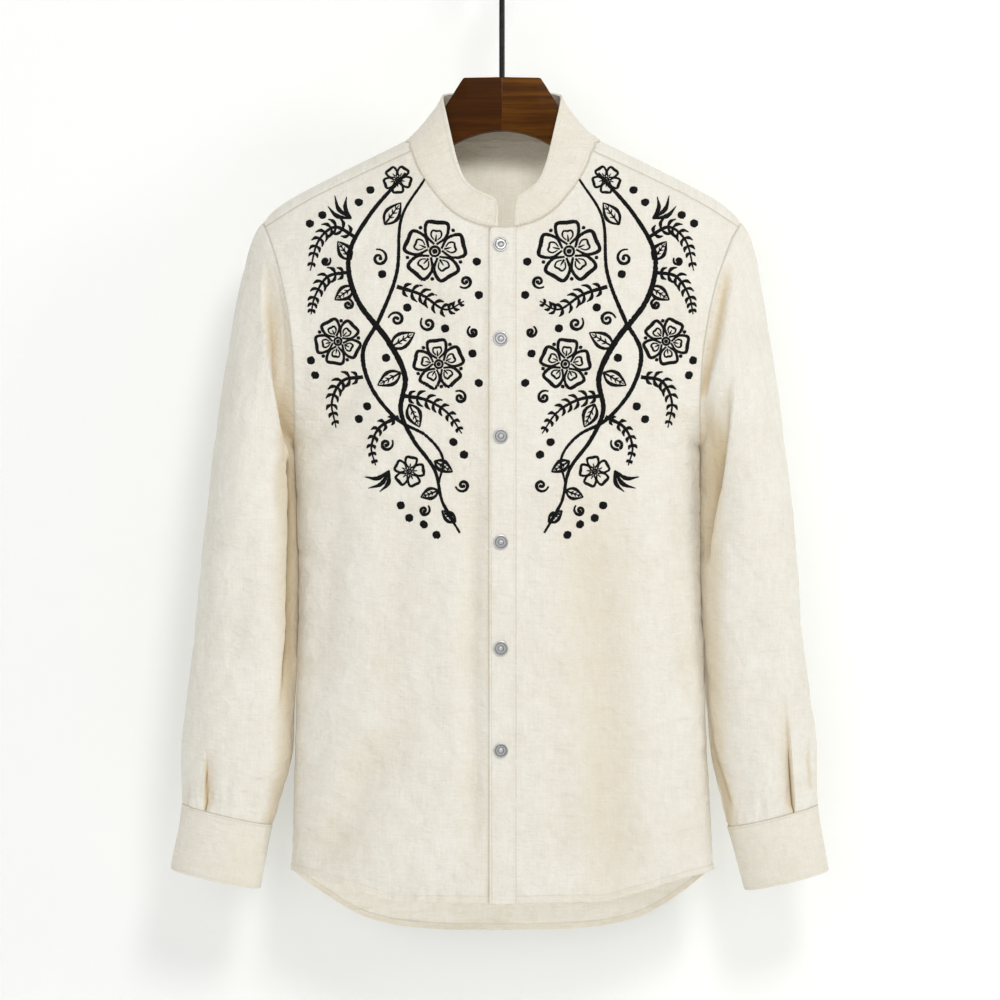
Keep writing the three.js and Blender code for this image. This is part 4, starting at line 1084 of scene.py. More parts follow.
SLEEVE_FOLDS = {  # path, how steep, reach, depth, fades, side of the path that lies lower
    RIGHT: [([(-228, -322), (-228, -388), (-223, -422), (-215.5, -462), (-209.5, -490), (-205, -513),
              (-199, -531)], 4.6, 26, 20.0, (0.5, 0.06), 1),
            ([(-204, -518), (-205, -625), (-206.5, -690), (-211, -745), (-217, -790)],
             4, 14, 6.0, (0.08, 0.3), 1),
            ([(-282, -800), (-284.4, -830), (-285.8, -868)], 1.8, 8, 6.0, (0.6, 0.01), 1),
            ([(-299, -835), (-302, -868)], 2.2, 6, 2.6, (0.6, 0.01), -1)],
    LEFT: [([(220, -436), (216.5, -485), (210, -533), (202, -587), (196, -640)],
            5.5, 22, 15.0, (0.42, 0.2), -1),
           ([(221, -330), (217, -366), (210, -400), (201, -436), (190, -475)], 9, 11, 7.0, (0.3, 0.05), -1),
           ([(193, -700), (198, -775), (206, -816), (216, -846), (223, -872)], 5, 8, 3.0, (0.3, 0.1), -1),
           ([(271, -742), (275.6, -803), (280.7, -862), (281.8, -876)], 1.8, 10, 7.0, (0.7, 0.01), -1),
           ([(296.5, -786), (298.5, -850)], 2.6, 6, 2.6, (0.6, 0.1), -1)]}
BACK_LAPS = {
    RIGHT: [([(-226, -330), (-222, -400), (-212, -470), (-202, -520)], 4, 18, 9.0, (0.5, 0.05), 1),
            ([(-266, -800), (-268, -874)], 1.8, 8, 3.4, (0.8, 0.01), 1)],
    LEFT: [([(224, -330), (219, -400), (208, -468), (197, -522)], 4, 18, 10.0, (0.5, 0.05), -1),
           ([(262, -790), (266, -876)], 1.8, 8, 3.8, (0.8, 0.01), -1)]}
SLEEVE_TROUGHS = {  # face, path, width, depth
    RIGHT: [(FRONT, [(-262, -330), (-276, -430), (-282, -560), (-280, -640)], 13, 3.2),
            (FRONT, [(-240, -600), (-252, -690), (-244, -780)], 15, 2.4),
            (FRONT, [(-296, -660), (-272, -690), (-246, -706)], 9, 1.4),
            (FRONT, [(-230, -800), (-240, -850), (-246, -885)], 7, 1.8),
            (FRONT, [(-262, -826), (-264, -878)], 4, 1.2),
            (BACK, [(-260, -420), (-272, -560), (-262, -700)], 16, 3.4),
            (BACK, [(-292, -640), (-262, -676), (-226, -690)], 10, 2.4),
            (BACK, [(-288, -690), (-258, -716), (-228, -726)], 9, 1.8)],
    LEFT: [(FRONT, [(246, -330), (256, -430), (262, -560), (258, -650)], 14, 2.2),
           (FRONT, [(236, -620), (246, -700), (250, -780)], 15, 2.4),
           (FRONT, [(290, -668), (264, -704), (236, -722)], 10, 1.5),
           (FRONT, [(247, -836), (250, -878)], 3.2, 1.5),
           (FRONT, [(256, -842), (260, -874)], 3.0, 1.3),
           (FRONT, [(264, -838), (268, -871)], 3.2, 1.4),
           (FRONT, [(236, -838), (238, -880)], 3.4, 1.2),
           (BACK, [(252, -420), (266, -560), (256, -700)], 16, 3.2),
           (BACK, [(288, -652), (258, -684), (222, -700)], 10, 2.4),
           (BACK, [(282, -700), (252, -724), (222, -738)], 9, 1.8)]}
fold_lists = [table[side] for table in (SLEEVE_FOLDS, BACK_LAPS, SLEEVE_TROUGHS) for side in (RIGHT, LEFT)]
print("folds on the sleeves:", sum(len(folds) for folds in fold_lists))

# %% The sleeve's form
AROUND = 240  # columns of the tube
CAP_LENGTH, TUBE_LENGTH = 200, 325  # from the armhole to the first section, and on to the cuff
LEAVE_OUT, LEAVE_DEEP, LEAVE_DOWN = 0.24, -0.1, -0.15  # how the cap's curves set off from the armhole
ARRIVE_OUT, ARRIVE_DOWN = 0.12, -0.95  # and how they come down into the tube


def sleeve_section(side, step):
    """The six measures of a sleeve's section, between two rows of its table."""
    table = dict(zip(COLUMNS, zip(*SLEEVE_SECTIONS[side])), step=range(len(SLEEVE_SECTIONS[side])))
    return [read(table, "step", column, step) for column in COLUMNS]


def sleeve_point(side, step, angle):
    """A point of the sleeve's oval, at an angle from its outer side towards the front."""
    out_x, out_z, in_x, in_z, fore, aft = sleeve_section(side, step)
    c, s = np.cos(angle), np.sin(angle)
    size = (np.abs(c) ** SLEEVE_ROUND + np.abs(s) ** SLEEVE_ROUND) ** (1 / SLEEVE_ROUND)
    along = (1 - c / size) / 2
    y = np.where(s > 0, -fore, -aft) * s / size
    return np.stack([side * mix(out_x, in_x, along), y, mix(out_z, in_z, along)], -1)


def armhole(side):
    """The armhole, from its lowest point up the back and down the front, and the oval's angle there."""
    turn = np.linspace(0, math.pi, AROUND // 2, endpoint=False)
    rise = mix(UNDERARM, SHOULDER_TIP, (1 - np.cos(turn)) / 2)
    fall = mix(SHOULDER_TIP, UNDERARM, (1 - np.cos(turn)) / 2)
    loop = np.concatenate([form(side, BACK, QUARTER, rise), form(side, FRONT, QUARTER, fall)])
    step = np.linalg.norm(np.roll(loop, -1, 0) - loop, axis=1)
    angle = 2 * math.pi * np.concatenate([[0], step.cumsum()[:-1]]) / step.sum()
    return loop, angle + math.pi + (math.pi - angle[AROUND // 2])


def sleeve_rings(side):
    """Rings from the armhole to the cuff: a cap that bends over the shoulder, then the table's tube."""
    start, angles = armhole(side)
    end = sleeve_point(side, 0.0, angles)
    reach = np.linalg.norm(end - start, axis=1)[:, None]
    leave = np.stack([LEAVE_OUT * side + 0 * angles, LEAVE_DEEP * np.sin(angles), LEAVE_DOWN + 0 * angles], 1)
    leave, arrive = leave * reach, np.array([ARRIVE_OUT * side, 0, ARRIVE_DOWN]) * reach
    cap = []
    for t in stops(CAP_LENGTH, CELL, last=(0, CELL))[:-1]:
        cap.append(start * (1 + 2 * t) * (1 - t) ** 2 + end * t * t * (3 - 2 * t)
                   + leave * t * (1 - t) ** 2 - arrive * t * t * (1 - t))
    steps = stops(TUBE_LENGTH, 3.2, first=(0, CELL)) * CUFF_SEAM
    steps = np.interp(steps, [0, CUFF_SEAM * 0.55, CUFF_SEAM], [0, 3, CUFF_SEAM])
    tube = sleeve_point(side, steps[:, None], angles[None, :])
    return np.concatenate([np.array(cap), tube])


print("rings of a sleeve:", len(sleeve_rings(RIGHT)))

# %% The sleeves
def sleeve(side):
    """The whole sleeve: its swelling, laps, troughs, and the gathers that the cuff takes in."""
    points = sleeve_rings(side)
    normals = normals_of(points, points - points.mean(1, keepdims=True), closed=True)
    above, below = edges(points, 0)
    ring = np.linalg.norm(np.roll(points, -1, 1) - points, axis=2)
    around = np.concatenate([0 * ring[:, :1], ring.cumsum(1)], 1)
    u = around - around[:, -1:] / 2  # one more column than the points, because the last meets the first
    place, down = u[:, :-1], above.mean(1, keepdims=True)
    seed = 60 if side == RIGHT else 70
    swelling = 1.7 * waves(place / 42, down / 100, seed) + 0.55 * waves(place / 18, down / 34, seed + 1)
    swelling += 1.2 * (1 - np.abs(waves(place / 30 + down / 100, down / 46, seed + 4))) ** 5
    depth = swelling * ease(above / 60) * ease(below / 14)
    shade = 0 * depth
    for face, laps in ((FRONT, SLEEVE_FOLDS[side]), (BACK, BACK_LAPS[side])):
        for fold in laps:
            moved, shaded = lap(points, normals, face, *fold)
            depth, shade = depth + moved, shade + shaded
    for face, path, width, deep in SLEEVE_TROUGHS[side]:
        depth = depth + trough(points, normals, face, path, width, deep)
    inner = ease((-side * normals[..., 0] - 0.5) / 0.34) * ease((-400 - points[..., 2]) / 130)
    shade = shade + 0.65 * inner  # little light gets between the sleeve and the body
    gathers = 1.6 * waves(place / 7, below / 40, seed + 2) * bell(below, 20)
    depth = depth * ease(above / 5) * mix(0.2, 1, ease(below / 9)) + gathers * ease(below / 3 + 0.3)
    depth = depth + seam_roll(above, 0.7)
    depth = depth + bell(below, 2.5) + pucker(above, place, seed + 3, 0.3)
    points = raised(sided("sleeve", side), points, normals, -depth, closed=True)
    v = np.repeat(-down, u.shape[1], 1)
    return linen_sheet(sided("sleeve", side), points, normals, u, v, np.minimum(above, below), closed=True,
                       shade=np.clip(shade, 0, DARKEST))


sleeve_right, sleeve_left = sleeve(RIGHT), sleeve(LEFT)

# %% The cuffs
CUFF_THICK = 1.9
CUFF_LAP = 0.5  # radians: how far the ends overlap
CUFF_OPENING = 1.3  # radians from the outer side to the opening at the back
CUFF_BORDER, CUFF_STITCH = (0, 0.7, 1.6, 2.4, 3.2, 4.6), 2.4
CUFF_ROUND, CUFF_HEIGHT = 230, 64


def cuff(side):
    """A band once round the wrist and on over its own start."""
    around = stops(CUFF_ROUND, 2.4, CUFF_BORDER, CUFF_BORDER)
    across = stops(CUFF_HEIGHT, 3, CUFF_BORDER, CUFF_BORDER)
    angle = -CUFF_OPENING + around * (2 * math.pi + CUFF_LAP)
    points = sleeve_point(side, (CUFF_SEAM + across)[:, None], angle[None, :])
    normals = normals_of(points, points - points.mean(1, keepdims=True))
    ends = np.minimum(*edges(points, 1))
    top, bottom = edges(points, 0)
    past = around * (2 * math.pi + CUFF_LAP) - 2 * math.pi + CUFF_LAP
    proud = 0.9 + 2.6 * ease(past / CUFF_LAP)[None, :]
    border = np.minimum(np.minimum(top, bottom), ends)
    proud = proud - 0.35 * bell(border - CUFF_STITCH, 0.9) - 0.5 * bell(border, 0.7)
    u, v = lengths(points, 1), -top
    seed = 80 if side == RIGHT else 90
    proud = proud + 0.35 * waves(u / 34, top / 26, seed) - pucker(top, u, seed + 1, 0.3, 9, 6)
    proud = proud - pucker(bottom, u, seed + 2, 0.18, 8, 7)
    points = raised(sided("cuff", side), points, normals, proud)
    edge = np.abs(border - CUFF_STITCH) + 1.0
    return linen_sheet(sided("cuff", side), points, normals, v, u, edge, thick=CUFF_THICK,
                       shade=DOUBLE_LAYER_SHADE, bevel=0.6)


cuff_right, cuff_left = cuff(RIGHT), cuff(LEFT)

# %% The finished slits above the cuffs
SLIT_HEIGHT, SLIT_WIDTH, SLIT_STITCH = 76, 12, 1.6
SLIT_SECTIONS, SLIT_ANGLE = 2.2, 0.36  # how far it goes up and round the sleeve, in its sections and radians
SLIT_BORDER = (0, 0.7, 1.6, 2.4)


def slit_strip(side):
    """The strip that binds the slit, over the opening at the back of the cuff."""
    up = stops(SLIT_HEIGHT, CELL) * SLIT_SECTIONS
    across = stops(SLIT_WIDTH, 2, SLIT_BORDER, SLIT_BORDER)
    angle = CUFF_LAP / 2 - CUFF_OPENING + (across - 0.5) * SLIT_ANGLE
    points = sleeve_point(side, CUFF_SEAM - up[:, None], angle[None, :])
    middle = sleeve_point(side, CUFF_SEAM - up, 0.0) / 2 + sleeve_point(side, CUFF_SEAM - up, math.pi) / 2
    normals = normals_of(points, points - middle[:, None])
    sides = np.minimum(*edges(points, 1))
    ends = np.minimum(*edges(points, 0))
    border = np.minimum(sides, ends)
    rise = 1.9 - 0.3 * bell(border - SLIT_STITCH, 0.7) - 0.4 * bell(border, 0.7)
    points = raised(sided("slit", side), points, normals, rise)
    edge = np.abs(border - SLIT_STITCH) + 0.4
    return linen_sheet(sided("slit", side), points, normals, lengths(points, 1), lengths(points, 0), edge,
                       thick=1.0, bevel=0.3)


slit_right, slit_left = slit_strip(RIGHT), slit_strip(LEFT)

# %% [markdown]
# ## The hanger
# Each arm is carved from one board: level at the top, stepped down beside the hook, and then running out
# under the shoulder seam, with an arch cut into its lower edge. A cube is the start. Its end face is pulled
# out again and again, and at each stop it is resized to the arm's height and thickness there. Last, the
# long edges are rounded over.

# %% The arms' outline
HANGER_EDGE = dict(x=[0, 37.5, 55.3, 84], z=[-160, -160.6, -189.5, -221.5])
ARM = dict(x=[0, 37.5, 55.3, 70, 86, 115, 150, 185, 205, 214],
           half=[8.5, 8.5, 9, 9.5, 10.5, 12, 14, 15.5, 14, 9])
ARCH_TOP, ARCH_RADIUS, LOWER_SLOPE, UNDER_SEAM = -211.3, 86.0, 0.52, 4.5
ARM_END, END_DROP = 210, 3
ARM_STEP, LEAST_STEP = 5.2, 1.2  # from one pull to the next
CORNER_FOLD = math.radians(28)  # an edge that turns further than this is rounded over


def arm_top(x):
    inner = np.interp(x, HANGER_EDGE["x"], HANGER_EDGE["z"])
    outer = read(dict(x=SHOULDER["right"], z=SHOULDER["z"]), "x", "z", x) - UNDER_SEAM
    return np.where(x <= HANGER_EDGE["x"][-1], inner, outer) - END_DROP * ease((x - ARM_END + 6) / 10)


def arm_bottom(x):
    arch = lambda d: ARCH_TOP - ARCH_RADIUS + np.sqrt(ARCH_RADIUS ** 2 - d ** 2)
    turn = ARCH_RADIUS * math.sin(math.atan(LOWER_SLOPE))
    return np.where(x < turn, arch(np.minimum(x, turn)), arch(turn) - LOWER_SLOPE * (x - turn))


print("height of an arm, 100 mm out:", (arm_top(100) - arm_bottom(100)).round(1), "mm")

# %% Helpers for work in edit mode
def edit(piece):
    """Open the active piece in edit mode."""
    bpy.ops.object.mode_set(mode="EDIT")
    return bmesh.from_edit_mesh(piece.data)


def choose(bm, kind, wanted):
    """Select the faces or the edges that a test wants, and nothing else."""
    bpy.ops.mesh.select_mode(type=kind)
    bpy.ops.mesh.select_all(action="DESELECT")
    for part in bm.faces if kind == "FACE" else bm.edges:
        if wanted(part):
            part.select_set(True)
    bm.select_flush_mode()


def start_with(add, **measures):
    """A primitive of a size and place, with its place in its mesh and nothing else selected."""
    bpy.ops.object.select_all(action="DESELECT")
    add(**measures)
    bpy.ops.object.transform_apply()
    return bpy.context.object


def face_outwards():
    bpy.ops.mesh.select_all(action="SELECT")
    bpy.ops.mesh.normals_make_consistent(inside=False)


def finished(name, material, angle=35):
    """Turn the faces outwards, leave edit mode, and give the piece its name and finish."""
    face_outwards()
    bpy.ops.object.mode_set(mode="OBJECT")
    piece = bpy.context.object
    piece.name = piece.data.name = name
    bpy.ops.object.shade_smooth_by_angle(angle=math.radians(angle))
    piece.data.materials.append(material)
    print(f"{name}: {len(piece.data.polygons)} faces")
    return piece


# %% Carve the two arms
def hanger_arm(side, name, material):
    corners = HANGER_EDGE["x"][1:] + [ARM_END - 6, ARM_END + 4]
    places = np.unique(np.concatenate([np.arange(6, ARM_END + 4, ARM_STEP), corners]))
    places = places[[True] + list(np.diff(places) > LEAST_STEP)]
    measure = lambda x: np.array([arm_top(x), arm_bottom(x), read(ARM, "x", "half", x)], float) * MM
    start, last = 0.02, places[0]
    top, bottom, half = measure(start)
    cube = start_with(bpy.ops.mesh.primitive_cube_add, size=1,
                      scale=((last - start) * MM, 2 * half, top - bottom),
                      location=(side * (start + last) / 2 * MM, 0, (top + bottom) / 2))
    bm = edit(cube)
    for x in places[1:]:
        choose(bm, "FACE", lambda f: abs(f.calc_center_median().x - side * last * MM) < 1e-5)
        new_top, new_bottom, new_half = measure(x)
        move = (side * (x - last) * MM, 0, (new_top + new_bottom - top - bottom) / 2)
        bpy.ops.mesh.extrude_region_move(TRANSFORM_OT_translate=dict(value=move))
        grow = (1, new_half / half, (new_top - new_bottom) / (top - bottom))
        bpy.ops.transform.resize(value=grow, center_override=(side * x * MM, 0, (new_top + new_bottom) / 2))
        top, bottom, half, last = new_top, new_bottom, new_half, x
        bm = bmesh.from_edit_mesh(cube.data)
    sharp = lambda e: len(e.link_faces) == 2 and e.calc_face_angle() > CORNER_FOLD
    joint = lambda e: all(abs(v.co.x) < 0.001 for v in e.verts)
    choose(bm, "EDGE", lambda e: sharp(e) and not joint(e))
    bpy.ops.mesh.bevel(offset=1.5 * MM, segments=3, affect="EDGES")
    return finished(name, material)


arm_right = hanger_arm(RIGHT, "hanger_arm_right", wood_dark)
arm_left = hanger_arm(LEFT, "hanger_arm_left", wood_light)

# %% [markdown]
# ## The hook
# The hook is one round rod. A filled circle is the start, and its face is pulled along the rod's line:
# straight up as the stem, a slight swing to one side, then most of a circle. At each stop the face is
# turned to stand square across the line.

# %% Pull the rod along its line
ROD, HOOK_INSIDE = 2.75, 22  # the rod's radius, and the hook's inside it
HOOK_START, HOOK_END = math.radians(-40), math.radians(205)
STEM_FOOT, STEM_TOP, SWING = -159.4, -72, 14


def hook_line():
    """Points and headings along the hook, in millimetres in its own upright plane."""
    reach = HOOK_INSIDE + ROD
    on_circle = lambda a: np.array([reach * math.cos(a), -HOOK_INSIDE + reach * math.sin(a)])
    heading = np.array([-math.sin(HOOK_START), math.cos(HOOK_START)])
    top, join = np.array([0.0, STEM_TOP]), on_circle(HOOK_START)
    ctrl = [top, top + [0, SWING], join - heading * SWING, join]
    line = [np.array([0.0, z]) for z in (STEM_FOOT, -130, -100)]
    for t in np.linspace(0, 1, 12):
        a, b, c, d = (1 - t) ** 3, 3 * t * (1 - t) ** 2, 3 * t * t * (1 - t), t ** 3
        line.append(a * ctrl[0] + b * ctrl[1] + c * ctrl[2] + d * ctrl[3])
    line += [on_circle(a) for a in np.linspace(HOOK_START, HOOK_END, 44)[1:]]
    return np.array(line)


def hook_rod():
    line = hook_line()
    step = np.gradient(line, axis=0)
    heading = np.arctan2(step[:, 0], step[:, 1])
    heading[0] = 0
    edit(start_with(bpy.ops.mesh.primitive_circle_add, vertices=20, radius=ROD * MM, fill_type="NGON",
                    location=(0, 0, STEM_FOOT * MM)))
    bpy.ops.mesh.select_all(action="SELECT")
    for before, here, old, new in zip(line[:-1], line[1:], heading[:-1], heading[1:]):
        move = ((here[0] - before[0]) * MM, 0, (here[1] - before[1]) * MM)
        bpy.ops.mesh.extrude_region_move(TRANSFORM_OT_translate=dict(value=move))
        if abs(new - old) > 1e-6:
            bpy.ops.transform.rotate(value=old - new, orient_axis="Y",
                                     center_override=(here[0] * MM, 0, here[1] * MM))
    bpy.ops.mesh.bevel(offset=1.3 * MM, segments=4, affect="EDGES")
    return finished("hook_rod", lacquer, 60)


rod = hook_rod()

# %% [markdown]
# ## Buttons
# The buttons are cast metal with a raised rim, a sunk ring and a ribbed ring round a low dome. One is
# modelled from a disc by inset after inset, each raised or sunk, and copied to its eight places. Each copy
# is set on the cloth where a level ray meets it. Where the relief is low, the finish is darker.

# %% Model one button
BUTTON_RADIUS, CUFF_BUTTON_RADIUS, BUTTON_THICK = 7.0, 5.5, 1.3
BUTTON_X = -1.2
RIBBED, RIB_TURN = (3.2, 4.4), 7.5  # radii of the ribbed ring, and degrees from a rib to the next gap
GROOVE_TOP, RIM = 1.25, 0.94  # lower than this, in mm, and inside this part of its radius, it keeps dirt
BUTTON_HEIGHTS = [-325.7, -416, -508.5, -608.8, -709.5, -806.4]
RELIEF = [(0.35, 0.25), (0.75, 0.0), (0.35, -0.55), (0.7, 0.0), (0.3, 0.45), (1.25, 0.0), (0.3, -0.35),
          (0.8, 0.0), (0.5, 0.4), (0.7, 0.22), (0.7, 0.1)]  # inset, then rise, from the edge to the middle


def model_button():
    disc = start_with(bpy.ops.mesh.primitive_cylinder_add, vertices=48, radius=BUTTON_RADIUS * MM,
                      depth=BUTTON_THICK * MM, location=(0, 0, BUTTON_THICK / 2 * MM))
    bm = edit(disc)
    choose(bm, "FACE", lambda f: f.normal.z > 0.9)
    for inset, rise in RELIEF:
        bpy.ops.mesh.inset(thickness=inset * MM, depth=rise * MM)
    bm = bmesh.from_edit_mesh(disc.data)
    level = lambda f: len(f.verts) == 4 and f.normal.z > 0.8
    ribs = lambda f: level(f) and RIBBED[0] < f.calc_center_median().xy.length / MM < RIBBED[1]
    turn = lambda f: int(math.degrees(math.atan2(*f.calc_center_median().xy)) // RIB_TURN)
    choose(bm, "FACE", lambda f: ribs(f) and turn(f) % 2 == 0)
    bpy.ops.mesh.inset(thickness=0.06 * MM, depth=0.3 * MM, use_individual=True)
    button = finished("button", metal, 40)
    groove = button.data.attributes.new("groove", "FLOAT", "POINT")
    low = lambda v: float(v.co.z / MM < GROOVE_TOP and v.co.xy.length < RIM * BUTTON_RADIUS * MM)
    groove.data.foreach_set("value", [low(v) for v in button.data.vertices])
    return button


button_model = model_button()
print("button height", round(max(v.co.z for v in button_model.data.vertices) / MM, 2), "mm")

# %% Set the buttons on the cloth
def cloth_tree(*pieces):
    """The cloth of some pieces, ready for rays."""
    vertices, faces = [], []
    for piece in pieces:
        first = len(vertices)
        vertices += [v.co for v in piece.data.vertices]
        faces += [[first + i for i in p.vertices] for p in piece.data.polygons]
    return BVHTree.FromPolygons(vertices, faces)


BUTTON_LIFT = 0.15  # off the cloth


def set_button(name, tree, x, z, face, size=1.0):
    """A copy of the button where a level ray meets the cloth, turned to lie on it."""
    spots = [tree.ray_cast(Vector(((x + dx) * MM, face, (z + dz) * MM)), Vector((0, -face, 0)))[0]
             for dx, dz in ((0, 0), (3, 0), (-3, 0), (0, 3), (0, -3))]
    flat = (spots[1] - spots[2]).cross(spots[3] - spots[4]).normalized()
    flat = -flat if flat.y * face < 0 else flat
    button = placed(name, button_model.data.copy())
    turn = flat.to_track_quat("Z", "Y").to_matrix().to_4x4()
    place = Matrix.Translation(spots[0] + flat * BUTTON_LIFT * MM) @ turn @ Matrix.Scale(size, 4)
    button.data.transform(place)
    button.data.name = name
    return button


band_tree = cloth_tree(band)
buttons = {f"button_{i + 1}": set_button(f"shirt_button_{i + 1}", band_tree, BUTTON_X, z, FRONT)
           for i, z in enumerate(BUTTON_HEIGHTS)}
for cuff_cloth, word in ((cuff_right, "right"), (cuff_left, "left")):
    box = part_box(f"cuff_button_{word}")
    middle = [(a + b) / 2 / MM for a, b in zip(*box)]
    buttons[f"cuff_button_{word}"] = set_button(f"wrist_button_{word}", cloth_tree(cuff_cloth), middle[0],
                                                middle[2], BACK, CUFF_BUTTON_RADIUS / BUTTON_RADIUS)
bpy.data.objects.remove(button_model)
print(len(buttons), "buttons")

# %% [markdown]
# ## Stitches
# Every folded edge is held by a row of small stitches in cream thread: round the collar, down both sides of
# the button band, round the cuffs and the slit strips, along the hems and beside the seams of the yoke and
# the armholes. A stitch is a tiny lozenge of thread that dips into the cloth at both ends. They all come
# from one small shape, laid along lines of the grids that made the cloth.

# %% One stitch
STITCH_PITCH, STITCH_LENGTH, STITCH_WIDTH = 3.1, 2.5, 0.52
STITCH_SIDES = 5
STITCH_RINGS = [  # place along the stitch, size, and lift off the cloth
    (-0.5, 0.25, -0.5), (-0.28, 1.0, 0.05), (0.0, 1.0, 0.35), (0.28, 1.0, 0.05), (0.5, 0.25, -0.5)]


def tube_faces(rings, sides, first=0):
    """The four-sided faces of a tube of rings of points, then its two ends."""
    faces = []
    for r in range(rings - 1):
        a, b = first + r * sides, first + (r + 1) * sides
        for k in range(sides):
            n = (k + 1) % sides
            faces.append((a + k, b + k, b + n, a + n))
    last = first + (rings - 1) * sides
    return faces, [tuple(range(first, first + sides)), tuple(range(last + sides - 1, last - 1, -1))]


def stitch_shape():
    """Points of a stitch of length and width 1, and its faces."""
    points = []
    for along, size, lift in STITCH_RINGS:
        for k in range(STITCH_SIDES):
            a = 2 * math.pi * k / STITCH_SIDES + math.pi / 2
            points.append((along, size * math.cos(a) / 2, size * math.sin(a) / 2 + lift * 0.5))
    sides, ends = tube_faces(len(STITCH_RINGS), STITCH_SIDES)
    return np.array(points), np.array(sides), ends


def thread_piece(name, mesh, finish):
    """A piece from a mesh of thread, with its faces turned outwards and shaded smooth."""
    mesh.materials.append(finish)
    piece = placed(name, mesh)
    only(piece)
    edit(piece)
    face_outwards()
    bpy.ops.object.mode_set(mode="OBJECT")
    bpy.ops.object.shade_smooth()
    print(f"{name}: {len(mesh.polygons)} faces")
    return piece


print("points of a stitch:", len(stitch_shape()[0]))

# %% Rows of stitches
def along_line(points, normals, pitch):
    """Places, headings and outward directions every pitch along a line of points."""
    run = run_of(points)
    at = np.arange(0.5 * pitch, run[-1], pitch)
    pick = lambda grid, s: np.stack([np.interp(s, run, grid[:, k]) for k in range(3)], 1)
    return pick(points, at), unit(pick(points, at + 0.4) - pick(points, at - 0.4)), pick(normals, at)


def stitches(name, lines, seed):
    shape, sides, ends = stitch_shape()
    random = np.random.default_rng(seed)
    points, faces = [], []
    for line_points, line_normals in lines:
        at, heading, out = along_line(line_points, line_normals, STITCH_PITCH)
        across = np.cross(out, heading)
        for place, x, y, z in zip(at, heading, across, out):
            size = 1 + random.uniform(-0.08, 0.08)
            first = len(points) * len(shape)
            local = shape * [STITCH_LENGTH * size, STITCH_WIDTH, STITCH_WIDTH]
            points.append(place + local[:, :1] * x + local[:, 1:2] * y + local[:, 2:] * z)
            faces += (sides + first).tolist() + [[first + i for i in end] for end in ends]
    mesh = bpy.data.meshes.new(name)
    mesh.from_pydata(np.concatenate(points) * MM, [], faces)
    return thread_piece(name, mesh, cream_thread)


def line(name, rows, cols):
    """A line of a finished grid: along a row or a column, given as a pair of slices or numbers."""
    points, normals = surface[name]
    return points[rows, cols], normals[rows, cols]


def border(name, inset):
    """The line that runs round a grid's four sides, some lines in from its edge."""
    a, b = inset, -1 - inset
    rows = [line(name, a, slice(a, b)), line(name, slice(a, b), b),
            line(name, b, slice(b, a, -1)), line(name, slice(b, a, -1), a)]
    return tuple(np.concatenate(part) for part in zip(*rows))


print(len(surface), "grids to sew")

# %% Sew the edges
all_of, fronts = slice(None), ("front_right_cloth", "front_left_cloth")
sewn = {  # which lines of which grids carry stitches
    "stitches_collar": [border("collar_cloth", 4), line("collar_cloth", 1, all_of)],
    "stitches_band": [line("button_band", all_of, 3), line("button_band", all_of, -4)],
    "stitches_cuff_right": [border("cuff_right_cloth", 3)],
    "stitches_cuff_left": [border("cuff_left_cloth", 3)],
    "stitches_slits": [border(sided("slit", side), 2) for side in (RIGHT, LEFT)],
    "stitches_hems": [line(name, -6, slice(1, -1)) for name in (*fronts, "back_cloth")],
    "stitches_yoke": [line(name, 2, all_of) for name in ("back_cloth", *fronts)],
    "stitches_armholes": [line(sided("sleeve", side), 1, all_of) for side in (RIGHT, LEFT)]}
sewing = {name: stitches(name, lines, seed) for seed, (name, lines) in enumerate(sewn.items())}

# %% [markdown]
# ## The embroidery's pattern
# The same plant grows up both fronts, mirrored: two stems that cross, with flowers, fern fronds, leaves,
# curled tendrils, palm fans and berries. It is drawn as lines, each a smooth curve with a width along it,
# in millimetres out from the centre front and down from the hook.

# %% Drawing helpers
def curve(points, count):
    """A smooth line through a few points, with this many steps from each to the next."""
    points = np.array(points, float)
    pad = np.concatenate([[2 * points[0] - points[1]], points, [2 * points[-1] - points[-2]]])
    out = []
    for a, b, c, d in zip(pad, pad[1:], pad[2:], pad[3:]):
        for t in np.linspace(0, 1, count, endpoint=False):
            out.append(0.5 * (2 * b + (c - a) * t + (2 * a - 5 * b + 4 * c - d) * t * t
                              + (3 * b - a - 3 * c + d) * t ** 3))
    return np.array(out + [points[-1]])


def polar(middle, turn, reach):
    """The place at an angle and a distance from another."""
    return np.array(middle) + reach * np.array([math.cos(turn), math.sin(turn)])


pattern = []  # points, and widths spaced evenly from the start to the end
HEAVY = 1.45  # all widths are drawn this much heavier


def draw(points, *widths):
    """Keep a line with its widths, or with one width all along."""
    widths = widths if len(widths) > 1 else widths * 2
    pattern.append((np.array(points, float), HEAVY * np.array(widths)))


def dot(middle, size):
    """A berry: a short, fat stroke with round ends, as wide as it is long."""
    along = np.linspace(-1, 1, 9)
    draw([polar(middle, 0.6, size * HEAVY / 2 * a) for a in along], *size * np.sqrt(1.04 - along ** 2))


def petal(middle, turn, inner, outer, half):
    """The outline of a petal with a dented tip, open at the middle of the flower."""
    line = [(inner, -0.16), (mix(inner, outer, 0.45), -half), (outer * 0.93, -half * 0.62), (outer * 0.9, 0),
            (outer * 0.93, half * 0.62), (mix(inner, outer, 0.45), half), (inner, 0.16)]
    return curve([polar(middle, turn + a, r) for r, a in line], 8)


print("points of a short curve:", len(curve([(0, 0), (5, 2), (9, 0)], 8)))

# %% Flowers and leaves
PETALS, LARGE = 5, 20  # only a flower of more than this radius has room for a second line in each petal


